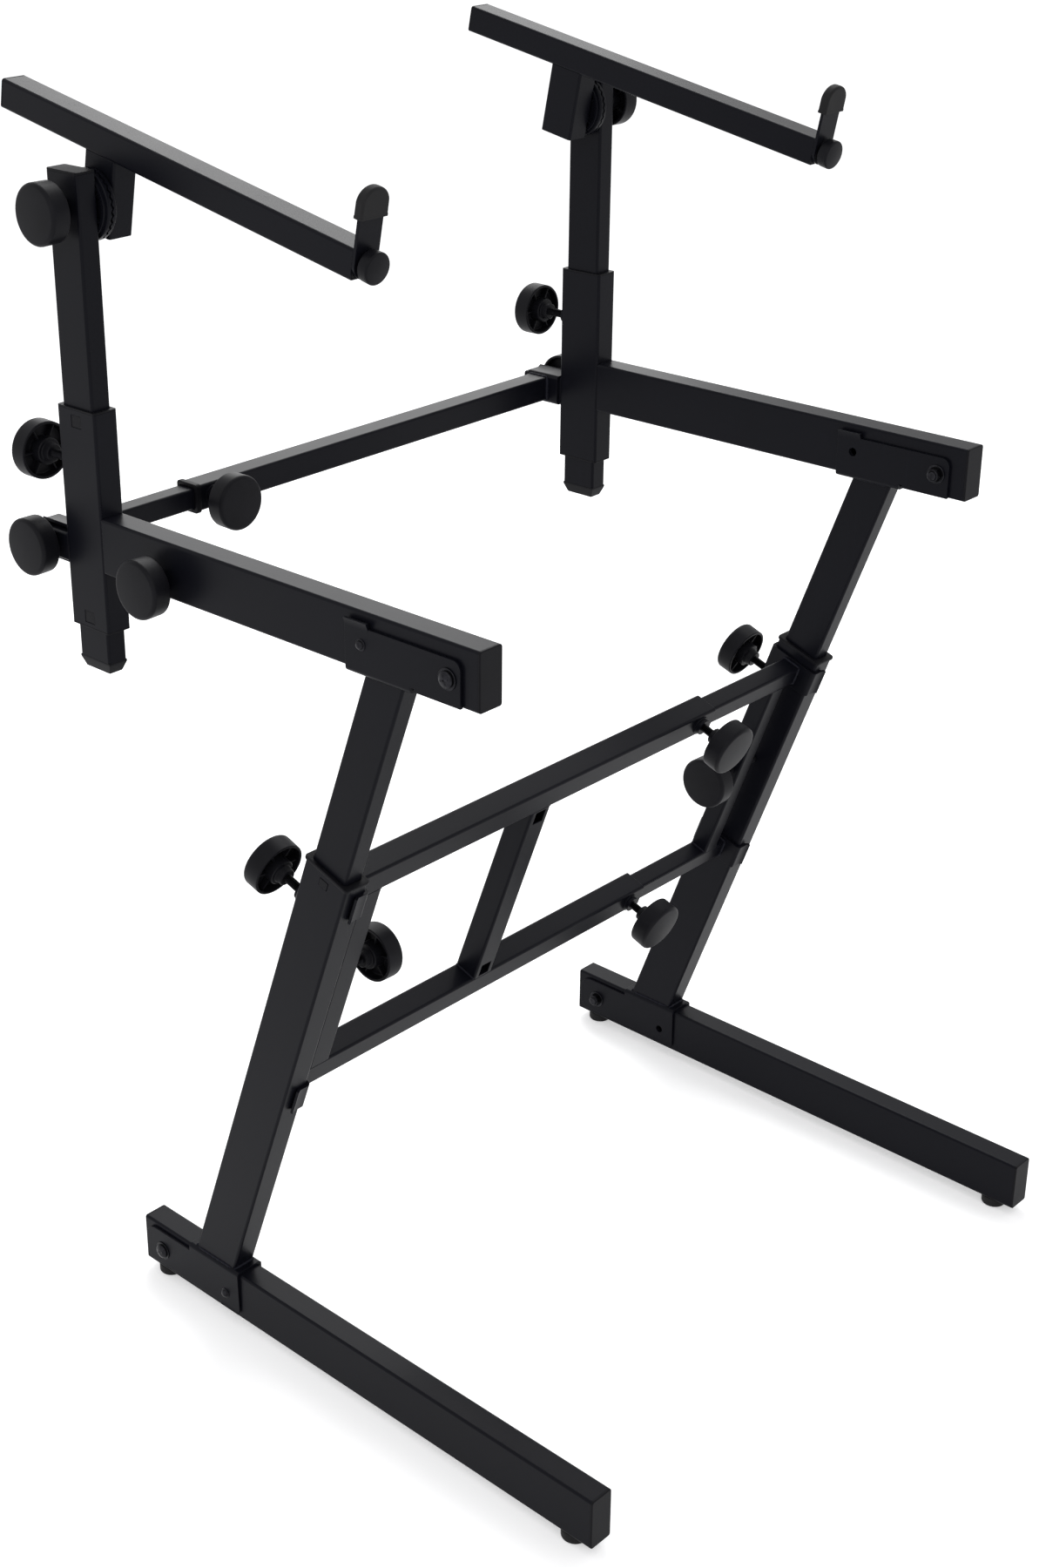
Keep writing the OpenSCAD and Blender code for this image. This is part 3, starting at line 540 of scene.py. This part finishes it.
def outline(shape, w, d, corner):
    """Adds a rounded rectangle of w by d mm at Z = 0."""
    made = bmesh.ops.create_grid(shape, x_segments=1, y_segments=1, size=0.5)["verts"]
    bmesh.ops.scale(shape, vec=(w * MM, d * MM, 1), verts=made)
    bmesh.ops.bevel(
        shape, geom=made, offset=corner * MM, offset_type="OFFSET", segments=4, affect="VERTICES", profile=0.5,
        material=-1,
    )


def ring(w, d, h, bore_w, bore_d, corner, bore_corner, soft=0.6):
    """A ring standing on Z = 0 round the tube that slides in it, its outer rims softened."""
    shape = bmesh.new()
    outline(shape, w, d, corner)
    outline(shape, bore_w, bore_d, bore_corner)
    bmesh.ops.delete(shape, geom=shape.faces[:], context="FACES_ONLY")
    bmesh.ops.bridge_loops(shape, edges=shape.edges[:])
    top = bmesh.ops.extrude_face_region(shape, geom=shape.faces[:])["geom"]
    bmesh.ops.translate(shape, vec=(0, 0, h * MM), verts=[v for v in top if isinstance(v, bmesh.types.BMVert)])
    bmesh.ops.recalc_face_normals(shape, faces=shape.faces)
    rim = [
        e for e in shape.edges
        if len(e.link_faces) == 2 and e.calc_face_angle(0) > math.radians(60)
        and abs(e.verts[0].co.z - e.verts[1].co.z) < 1e-7
    ]
    if soft:
        bmesh.ops.bevel(
            shape, geom=rim, offset=soft * MM, offset_type="OFFSET", segments=2, affect="EDGES", profile=0.5,
            material=-1,
        )
    return shape


class STAND_OT_caps(bpy.types.Operator):
    """Model the end caps of the base tubes, arms and rear stubs"""

    bl_idname = "stand.caps"
    bl_label = "End Caps"

    def execute(self, context):
        for side_name, side in SIDES:
            base = at(side, 0, 0, 25)
            front = at(side, 0, -BASE_LEN, 25) @ OUT_FRONT
            rear = base @ OUT_BACK
            shape = merged(
                (cap_shape(25, 50, 2, 14, (21.8, 46.8)), rear, 0),
                (cap_shape(25, 50, 2, 16, (21.8, 46.8)), front, 0),
            )
            piece(
                f"{side_name}_base_caps_round", shape, Matrix.Identity(4), f"{side_name}_base", "plastic", "plastic",
                hides=[f"{side_name}_base_caps"],
            )
            piece(
                f"{side_name}_arm_cap_round", cap_shape(25, 50, 2, 16, (21.8, 46.8)),
                at(side, 0, ARM_Y0, ARM_Z) @ OUT_FRONT, f"{side_name}_arm", "plastic", "plastic",
                hides=[f"{side_name}_arm_cap"],
            )
            piece(
                f"{side_name}_rear_stub_cap", cap_shape(25, 25, 2, 12, (21.6, 21.6)),
                at(side, 0, POST_Y + 73, REAR_Z) @ OUT_BACK, f"{side_name}_column", "plastic", "plastic",
            )
        return {"FINISHED"}


class STAND_OT_collars(bpy.types.Operator):
    """Model the plastic collars at the open ends of the outer cross bars and the outer rear bar"""

    bl_idname = "stand.collars"
    bl_label = "Bar Collars"

    def execute(self, context):
        for name, s in (("upper", BAR_S[0]), ("lower", BAR_S[1])):
            shape = ring(22.4, 22.4, 12.3, 20.3, 20.3, 1.2, 0.8, 0.2)
            place = on_leg(-1, BAR_END - 12, 0, s) @ OUT_RIGHT
            piece(f"{name}_bar_liner", shape, place, "left_frame", "plastic", "plastic")
        place = at(1, REAR_END - 3, REAR_Y, REAR_Z) @ OUT_RIGHT
        piece(
            "rear_bar_collar", ring(28, 28, 5.5, 20.3, 20.3, 3.2, 0.8), place, "right_column", "plastic", "plastic"
        )
        for side_name, side in SIDES:
            tab = block(7.6, 9.6, 1.2, 1.2, 0.5)
            shape = merged(
                (ring(28, 53, 3.4, 20.2, 40.2, 3.5, 2.5, 0.9), shift(0, 0, LEG_TOP + 0.6), 0),
                (ring(25.4, 50.4, 0.7, 20.2, 40.2, 2.6, 2.5, 0.0), shift(0, 0, LEG_TOP), 0),
                (ring(21.8, 46.8, 40, 20.2, 40.2, 0.6, 0.5, 0.0), shift(0, 0, LEG_TOP - 40), 0),
                (tab, shift(-11.7, 0, LEG_TOP - 9) @ OUT_LEFT, 0),
            )
            piece(
                f"{side_name}_leg_collar_snap", shape, on_leg(side, 0, 0, 0), f"{side_name}_frame", "plastic",
                "plastic", hides=[f"{side_name}_leg_collar"],
            )
        return {"FINISHED"}


# Rubber


def boot_shape():
    """The soft boot on a lip strip: a flat pocket with a domed top and a flared foot. Y goes up the strip."""
    shape = bmesh.new()
    made = bmesh.ops.create_circle(shape, cap_ends=True, radius=14.4 * MM, segments=40)["verts"]
    bmesh.ops.scale(shape, vec=(1, 0.92, 1), verts=made)
    low = [v for v in made if v.co.y < 1e-6]
    for v in low:
        v.co.x = max(-14.4, min(14.4, v.co.x / MM * 4)) * MM
    bmesh.ops.translate(shape, vec=(0, 46.7 * MM, 0), verts=made)
    for v in low:
        v.co.y = 36.6 * MM
    bmesh.ops.remove_doubles(shape, verts=shape.verts, dist=1e-6)
    bmesh.ops.translate(shape, vec=(0, 0, -3 * MM), verts=shape.verts)
    top = bmesh.ops.extrude_face_region(shape, geom=shape.faces[:])["geom"]
    bmesh.ops.translate(shape, vec=(0, 0, 9 * MM), verts=[v for v in top if isinstance(v, bmesh.types.BMVert)])
    bmesh.ops.recalc_face_normals(shape, faces=shape.faces)
    rim = [e for e in shape.edges if e.calc_face_angle(0) > math.radians(60) and max(v.co.y for v in e.verts) > 38 * MM]
    bmesh.ops.bevel(
        shape, geom=rim, offset=2.2 * MM, offset_type="OFFSET", segments=4, affect="EDGES", profile=0.5, material=-1
    )
    hem = block(29.0, 9.2, 2.2, 1.8, 0.5, 4)
    return merged(
        (shape, Matrix.Identity(4), 0),
        (hem, shift(0, 36, 1.5) @ OUT_BACK, 0),
    )


class STAND_OT_rubber(bpy.types.Operator):
    """Model the rubber feet and the boots on the lip strips"""

    bl_idname = "stand.rubber"
    bl_label = "Rubber Feet and Boots"

    def execute(self, context):
        foot = [(0, 0.4), (9.8, 0.4), (10.6, 0.0), (11.6, -1.0), (12.0, -2.2), (12.0, -7.2)]
        foot += arc(10.0, -8.0, 2.0, 0, -90, 5) + [(6.2, -10), (5.6, -9.2), (3.2, -9.0), (0, -9.0)]
        for side_name, side in SIDES:
            shape = merged(
                (spun(foot, 44), at(side, 0, -19.5, 0), 0),
                (spun(foot, 44), at(side, 0, -BASE_LEN + 26, 0), 0),
            )
            piece(
                f"{side_name}_feet_round", shape, Matrix.Identity(4), f"{side_name}_base", "rubber", "rubber",
                hides=[f"{side_name}_base_feet"],
            )
            piece(
                f"{side_name}_lip_boot_soft", boot_shape(),
                on_tier(side, TIER_U, -TIER_FWD, TIER_Z) @ OUT_FRONT, f"{side_name}_lip", "rubber", "rubber",
                hides=[f"{side_name}_lip_boot"],
            )
        return {"FINISHED"}


# Screws


def pan_head(r, h):
    """A pan head with a cross recess, drawn as a thin dark cross that is painted shade of the recess, on its washer."""
    head = spun(
        [(0, h), (r * 0.45, h - 0.12), (r * 0.78, h - 0.6), (r * 0.95, h - 1.4), (r, h - 2.2), (r, 1.2), (0, 1.2)], 40
    )
    washer = spun([(0, 1.2), (r + 1.7, 1.2), (r + 2.0, 0.9), (r + 2.0, 0.0), (0, 0.0)], 40)
    parts = [(head, Matrix.Identity(4), 0), (washer, Matrix.Identity(4), 0)]
    for turn in (0, 90):
        # Each arm of the cross is a thin block in the darker thread steel laid on the head: painted shade standing in
        # for the dark of the recess.
        slot = block(r * 1.15, 1.3, 0.24, 0.0, 0.0)
        parts.append((slot, Matrix.Rotation(math.radians(turn + 20), 4, "Z") @ shift(0, 0, h - 0.18), 1))
    return merged(*parts)


def toothed_ring(turn):
    """The raised rim of a tilt plate, with its face teeth. Z = 0 is the plate's back, Z = 7.15 the tooth tips."""
    teeth, points = 30, 4
    shape = spun(
        [(25.5, 2.6), (28.6, 2.6), (29.6, 3.2), (29.9, 3.8), (29.9, 7.15), (25.5, 7.15)], teeth * points, closed=True
    )
    for v in shape.verts:
        if v.co.z > 7 * MM:
            step = (math.atan2(v.co.y, v.co.x) / math.tau * teeth + turn) % 1
            v.co.z -= 3.4 * abs(step - 0.5) * MM
    return shape


class STAND_OT_tilt(bpy.types.Operator):
    """Model the toothed rims of the tilt plates"""

    bl_idname = "stand.tilt"
    bl_label = "Tilt Plate Rims"

    def execute(self, context):
        for side_name, side in SIDES:
            piece(
                f"{side_name}_post_rim", toothed_ring(0), at(side, 10, POST_Y, PIVOT_Z) @ OUT_RIGHT,
                f"{side_name}_mast", "coated_steel", "coat",
            )
            piece(
                f"{side_name}_tier_rim", toothed_ring(0.5), on_tier(side, TIER_U - 12.5, 0, 0) @ OUT_LEFT,
                f"{side_name}_tier", "coated_steel", "coat",
            )
        return {"FINISHED"}


class STAND_OT_screws(bpy.types.Operator):
    """Model the pivot screws with their washers and nuts, and the lock points"""

    bl_idname = "stand.screws"
    bl_label = "Pivot Screws"

    def execute(self, context):
        plan = (("base", "foot_pins", (-27, 24), (-118, 22)), ("upper", "arm_pins", (ARM_Y0 + 28, 740), (ARM_Y0 + 119.5, 742)))
        for side_name, side in SIDES:
            for _, kind, pivot, lock in plan:
                shaft = spun([(0, -1), (4, -1), (4, 38), (3.4, 38.8), (0, 38.8)], 24)
                nut = spun([(4.1, 6.6), (4.8, 7.0), (5.6, 6.6), (6.2, 5.2), (6.3, 1.2), (4.1, 1.2)], 28, closed=True)
                flats = bmesh.new()
                bmesh.ops.create_cone(
                    flats, cap_ends=True, segments=6, radius1=7 * MM, radius2=7 * MM, depth=4.2 * MM
                )
                washer = spun([(4.1, 0), (8.6, 0), (9, 0.3), (9, 0.9), (8.6, 1.2), (4.1, 1.2)], 40, closed=True)
                button = spun(
                    [(0, 3.5), (1.4, 3.45), (2.8, 2.9), (3.6, 2.0), (3.9, 0.9), (4.7, 0.8), (5, 0.5), (5, 0), (0, 0)], 32
                )
                far = at(side, 15.5, *pivot) @ OUT_RIGHT
                shape = merged(
                    (pan_head(7, 4.6), at(side, -15.5, *pivot) @ OUT_LEFT, 0),
                    (shaft, at(side, -15.5, *pivot) @ OUT_RIGHT, 0),
                    (washer, far, 0),
                    (flats, far @ shift(0, 0, 3.3), 0),
                    (nut, far, 0),
                    (button, at(side, -15.5, *lock) @ OUT_LEFT, 0),
                    (spun([(0, -3), (4, -3), (4, 0), (0, 0)], 24), at(side, -15.5, *lock) @ OUT_LEFT, 0),
                )
                piece(
                    f"{side_name}_{kind}_heads", shape, Matrix.Identity(4), f"{side_name}_frame" if kind == "foot_pins"
                    else f"{side_name}_upper", "screw_steel", "screw", "thread_and_recess_shade", hides=[f"{side_name}_{kind}"],
                )
        return {"FINISHED"}


# Welds


def bead(length, r, phase=0.0):
    """A weld bead along X with a rippled crest, its middle at the origin."""
    steps = max(6, int(length / 0.5))
    profile = [(0, 0)]
    for k in range(steps + 1):
        x = 0.3 + (length - 0.6) * k / steps
        wave = abs(math.sin(2.3 * x + phase)) * 0.16 + 0.10 * math.sin(0.9 * x + 2 * phase)
        end = min(1.0, 0.45 + 2.2 * min(k, steps - k) / steps * 3)
        profile.append((r * (0.84 + wave) * end, x))
    profile.append((0, length))
    return spun(profile, 12)


def seam(start, end, r, phase=0.0):
    """A bead laid from start to end, in mm, with its place."""
    start, end = Vector(start), Vector(end)
    run = end - start
    turn = run.to_track_quat("Z", "Y").to_matrix().to_4x4()
    return bead(run.length, r, phase), Matrix.Translation(start * MM) @ turn, 0


class STAND_OT_welds(bpy.types.Operator):
    """Model the weld beads where the tubes meet their brackets and clips"""

    bl_idname = "stand.welds"
    bl_label = "Weld Beads"

    def execute(self, context):
        tall = 25 / math.cos(LEAN)
        slim = 20 / math.cos(LEAN)
        for side_name, side in SIDES:
            low = LEG_Y - math.tan(LEAN) * 53
            high = LEG_Y - math.tan(LEAN) * ARM_H
            foot = merged(
                seam((-12.5, low + tall + 0.4, 53.2), (12.5, low + tall + 0.4, 53.2), 1.7, 0.3),
                seam((-12.5, low - tall - 0.4, 53.2), (12.5, low - tall - 0.4, 53.2), 1.7, 1.1),
                seam((-12.6, low - tall + 3, 53.1), (-12.6, low + tall - 3, 53.1), 1.2, 2.0),
                seam((12.6, low - tall + 3, 53.1), (12.6, low + tall - 3, 53.1), 1.2, 0.7),
            )
            piece(f"{side_name}_foot_weld", foot, at(side, 0, 0, 0), f"{side_name}_frame", "coated_steel", "weld")
            arm = merged(
                seam((-10, high + slim + 0.2, ARM_H - 0.2), (10, high + slim + 0.2, ARM_H - 0.2), 1.7, 0.9),
                seam((-10, high - slim - 0.2, ARM_H - 0.2), (10, high - slim - 0.2, ARM_H - 0.2), 1.7, 0.2),
                seam((-10.1, high - slim + 3, ARM_H - 0.1), (-10.1, high + slim - 3, ARM_H - 0.1), 1.2, 1.4),
                seam((10.1, high - slim + 3, ARM_H - 0.1), (10.1, high + slim - 3, ARM_H - 0.1), 1.2, 2.4),
            )
            piece(f"{side_name}_arm_weld", arm, at(side, 0, 0, 0), f"{side_name}_upper", "coated_steel", "weld")
            stub = merged(
                seam((-12.3, ARM_Y1 + 0.2, ARM_Z + 23), (12.3, ARM_Y1 + 0.2, ARM_Z + 23), 1.2, 0.4),
                seam((-12.3, ARM_Y1 + 50.2, REAR_Z + 12.6), (12.3, ARM_Y1 + 50.2, REAR_Z + 12.6), 1.5, 0.6),
                seam((-12.3, ARM_Y1 + 50.2, REAR_Z - 12.6), (12.3, ARM_Y1 + 50.2, REAR_Z - 12.6), 1.5, 1.6),
            )
            piece(f"{side_name}_sleeve_weld", stub, at(side, 0, 0, 0), f"{side_name}_column", "coated_steel", "weld")
            w = 25 if side < 0 else 20
            h, n = w / 2, 0
            parts = []
            for s in BAR_S:
                for up in (-1, 1):
                    n += 1
                    parts.append(seam((15.7, -h, s + up * h), (15.7, h, s + up * h), 1.5, 0.5 * n))
                    parts.append(seam((15.7, up * h, s - h), (15.7, up * h, s + h), 1.5, 0.8 * n))
            for s, up in ((BAR_S[0] - h, -1), (BAR_S[1] + h, 1)):
                for edge in (40 - h, 40 + h):
                    n += 1
                    parts.append(seam((edge, -h + 0.5, s), (edge, h - 0.5, s), 1.4, 0.6 * n))
            if side < 0:
                for s in (BAR_S[0] - h, BAR_S[1] + h):
                    for edge in (243.5, 268.5):
                        n += 1
                        parts.append(seam((edge, -h + 0.5, s), (edge, h - 0.5, s), 1.4, 0.6 * n))
            piece(
                f"{side_name}_clip_weld", merged(*parts), on_leg(side, 0, 0, 0), f"{side_name}_frame",
                "coated_steel", "weld",
            )
            w = 25 if side > 0 else 20
            h = w / 2
            rear = merged(*[
                seam((15.7, REAR_Y - h, REAR_Z + up * h), (15.7, REAR_Y + h, REAR_Z + up * h), 1.5, up + 1.2)
                for up in (-1, 1)
            ], *[
                seam((15.9, REAR_Y + up * h, REAR_Z - h), (15.9, REAR_Y + up * h, REAR_Z + h), 2.1, up + 2.2)
                for up in (-1, 1)
            ])
            piece(f"{side_name}_rear_weld", rear, at(side, 0, 0, 0), f"{side_name}_column", "coated_steel", "weld")
        return {"FINISHED"}


# Stage


class STAND_OT_stage(bpy.types.Operator):
    """Set up the floor, the lights and the camera"""

    bl_idname = "stand.stage"
    bl_label = "Stage"

    def execute(self, context):
        scene = context.scene
        looks = scene.stand_finishes
        shape = bmesh.new()
        bmesh.ops.create_grid(shape, x_segments=1, y_segments=1, size=60)
        mesh = bpy.data.meshes.new("studio_floor")
        shape.to_mesh(mesh)
        shape.free()
        floor = bpy.data.objects.new("studio_floor", mesh)
        scene.collection.objects.link(floor)
        p = Paint("white_floor")
        ray = p.node("ShaderNodeLightPath", {}, {})
        seen = self.seen(p, ray)
        diffuse = p.node("ShaderNodeBsdfDiffuse", {}, {"Color": (0.86, 0.86, 0.87, 1)})
        glow = p.node("ShaderNodeEmission", {}, {"Color": (1, 1, 1, 1), "Strength": seen * 0.38})
        both = p.node("ShaderNodeAddShader", {}, {0: diffuse.outputs[0], 1: glow.outputs[0]})
        p.node("ShaderNodeOutputMaterial", {}, {"Surface": both.outputs[0]})
        mesh.materials.append(p.material)

        world = bpy.data.worlds.new("white_room")
        scene.world = world
        world.use_nodes = True
        w = Paint.__new__(Paint)
        w.tree = world.node_tree
        w.tree.nodes.clear()
        ray = w.node("ShaderNodeLightPath", {}, {})
        seen = self.seen(w, ray)
        strength = w.node(
            "ShaderNodeMix", {"data_type": "FLOAT"}, {"Factor": seen, "A": looks.world_light, "B": 1.0}, 0
        )
        back = w.node("ShaderNodeBackground", {}, {"Color": (1, 1, 1, 1), "Strength": strength})
        w.node("ShaderNodeOutputWorld", {}, {"Surface": back.outputs[0]})

        self.lamp("key", (1.7, 1.4, 3.1), looks.key_light, 1.8)
        self.lamp("back", (1.6, 2.0, 1.65), looks.key_light * 0.36, 1.6)
        self.lamp("fill", (-2.6, -1.2, 2.6), looks.key_light * 0.3, 2.0)
        self.camera(scene)
        scene.view_settings.view_transform = "Standard"
        return {"FINISHED"}

    def seen(self, paint, ray):
        """1 for rays of the camera, reflections and see-through, 0 for the rest."""
        rays = [Value(paint, ray.outputs[k]) for k in ("Is Camera Ray", "Is Glossy Ray", "Is Transmission Ray")]
        total = rays[0] + rays[1] + rays[2]
        return paint.node("ShaderNodeMath", {"operation": "MINIMUM"}, {0: total, 1: 1.0}, 0)

    def lamp(self, name, place, power, size):
        light = bpy.data.lights.new(name, "AREA")
        light.energy = power
        light.size = size
        made = bpy.data.objects.new(name, light)
        made.location = place
        made.visible_camera = False
        made.rotation_euler = (Vector((0, 0, 0.5)) - Vector(place)).to_track_quat("-Z", "Y").to_euler()
        bpy.context.scene.collection.objects.link(made)

    def camera(self, scene):
        """The photographer's place: to the player's left, above the stand, looking down at it."""
        turn, drop, roll = math.radians(44.2), math.radians(24.3), math.radians(-1.2)
        look = Vector((math.sin(turn) * math.cos(drop), math.cos(turn) * math.cos(drop), -math.sin(drop)))
        right = Vector((math.cos(turn), -math.sin(turn), 0))
        up = right.cross(look)
        across = right * math.cos(roll) + up * math.sin(roll)
        upward = up * math.cos(roll) - right * math.sin(roll)
        basis = Matrix((across, upward, -look)).transposed().to_4x4()
        lens = bpy.data.cameras.new("photographer")
        camera = bpy.data.objects.new("photographer", lens)
        camera.matrix_world = Matrix.Translation((-1.4990, -1.2941, 1.4280)) @ basis
        lens.sensor_width = 36
        lens.lens = 36 * 2679.0 / 1800
        lens.shift_x = (596.5 - 413.1) / 1800
        lens.shift_y = -(900 - 838.8) / 1800
        lens.clip_start, lens.clip_end = 0.05, 200
        scene.collection.objects.link(camera)
        scene.camera = camera


# The frame's own pieces, with softened edges


def tuck_lips(shape):
    """Draws the small lips at the foot bracket's lower edge in towards its side plates."""
    for side in (-1, 1):
        for u in (-1, 1):
            root = at(side, u * 14, 0, 8).translation
            lip = [
                v for v in shape.verts
                if v.co.z < root.z + 1e-5 and v.co.y < at(side, 0, -105, 0).translation.y
                and abs(v.co.x - root.x) < 6 * MM
            ]
            bmesh.ops.scale(shape, vec=(0.4, 1, 0.45), space=Matrix.Translation(-root), verts=lip)


def softened(name, finish, slot_name, width):
    """A merged copy of a frame piece whose sharp edges are softened, which stands for it."""
    node = frame["nodes"][name]
    shape = bmesh.new()
    shape.from_mesh(node.data)
    bmesh.ops.remove_doubles(shape, verts=shape.verts, dist=1e-6)
    bmesh.ops.dissolve_limit(
        shape, angle_limit=math.radians(0.5), use_dissolve_boundaries=False, verts=shape.verts[:],
        edges=shape.edges[:], delimit=set(),
    )
    if name.endswith("lower_leg"):
        tuck_lips(shape)
    sharp = [e for e in shape.edges if len(e.link_faces) == 2 and e.calc_face_angle(0) > math.radians(40)]
    bmesh.ops.bevel(
        shape, geom=sharp, offset=width * MM, offset_type="OFFSET", segments=2, affect="EDGES", profile=0.5,
        material=-1,
    )
    body = next(b for b, nodes in frame["record"]["behaviour"]["bodies"].items() if name in nodes)
    return piece(name + "_soft_edges", shape, Matrix.Identity(4), body, slot_name, finish, hides=[name])


class STAND_OT_coat(bpy.types.Operator):
    """Give the frame's own pieces their powder coat, plastic and rubber"""

    bl_idname = "stand.coat"
    bl_label = "Coat the Frame"

    def execute(self, context):
        slots = {s["node"]: s["material_slot"] for s in frame["record"]["subparts"]}
        kinds = {
            "coated_steel": "coat", "plastic": "plastic", "knob_plastic": "knob", "rubber": "rubber",
            "screw_steel": "screw",
        }
        soft = (
            "base_tube", "lower_leg", "upper_leg", "arm_tube", "sleeve", "sleeve_bushings", "post", "post_plugs",
            "tier_arm", "tilt_plate", "tier_plugs", "lip_strip", "cross_outer", "cross_inner", "rear_bar_outer",
            "rear_bar_inner",
        )
        for name, node in list(frame["nodes"].items()):
            kind = kinds[slots[name]]
            if name.endswith(("_post", "upper_leg", "inner")):
                kind = "rubbed"
            node.data.materials.clear()
            node.data.materials.append(FINISH[kind])
            if name.endswith(soft):
                softened(name, kind, slots[name], 0.3)
        return {"FINISHED"}


class STAND_PT_panel(bpy.types.Panel):
    """Lists the steps that dress the stand"""

    bl_idname = "STAND_PT_panel"
    bl_label = "Keyboard Stand"
    bl_space_type = "VIEW_3D"
    bl_region_type = "UI"
    bl_category = "Keyboard Stand"

    def draw(self, context):
        for step in STEPS:
            self.layout.operator(step.bl_idname)


STEPS = (
    STAND_OT_stage, STAND_OT_coat, STAND_OT_knobs, STAND_OT_caps, STAND_OT_collars, STAND_OT_rubber, STAND_OT_tilt,
    STAND_OT_screws, STAND_OT_welds,
)
CLASSES = (StandSizes, StandFinishes, *STEPS, STAND_PT_panel)


def register():
    for cls in CLASSES:
        bpy.utils.register_class(cls)
    bpy.types.Scene.stand_sizes = bpy.props.PointerProperty(type=StandSizes)
    bpy.types.Scene.stand_finishes = bpy.props.PointerProperty(type=StandFinishes)


def unregister():
    del bpy.types.Scene.stand_finishes
    del bpy.types.Scene.stand_sizes
    for cls in reversed(CLASSES):
        bpy.utils.unregister_class(cls)


def main():
    register()
    make_finishes()
    bpy.ops.stand.stage()
    bpy.ops.stand.coat()
    bpy.ops.stand.knobs()
    bpy.ops.stand.caps()
    bpy.ops.stand.collars()
    bpy.ops.stand.rubber()
    bpy.ops.stand.tilt()
    bpy.ops.stand.screws()
    bpy.ops.stand.welds()


if __name__ == "__main__":
    main()
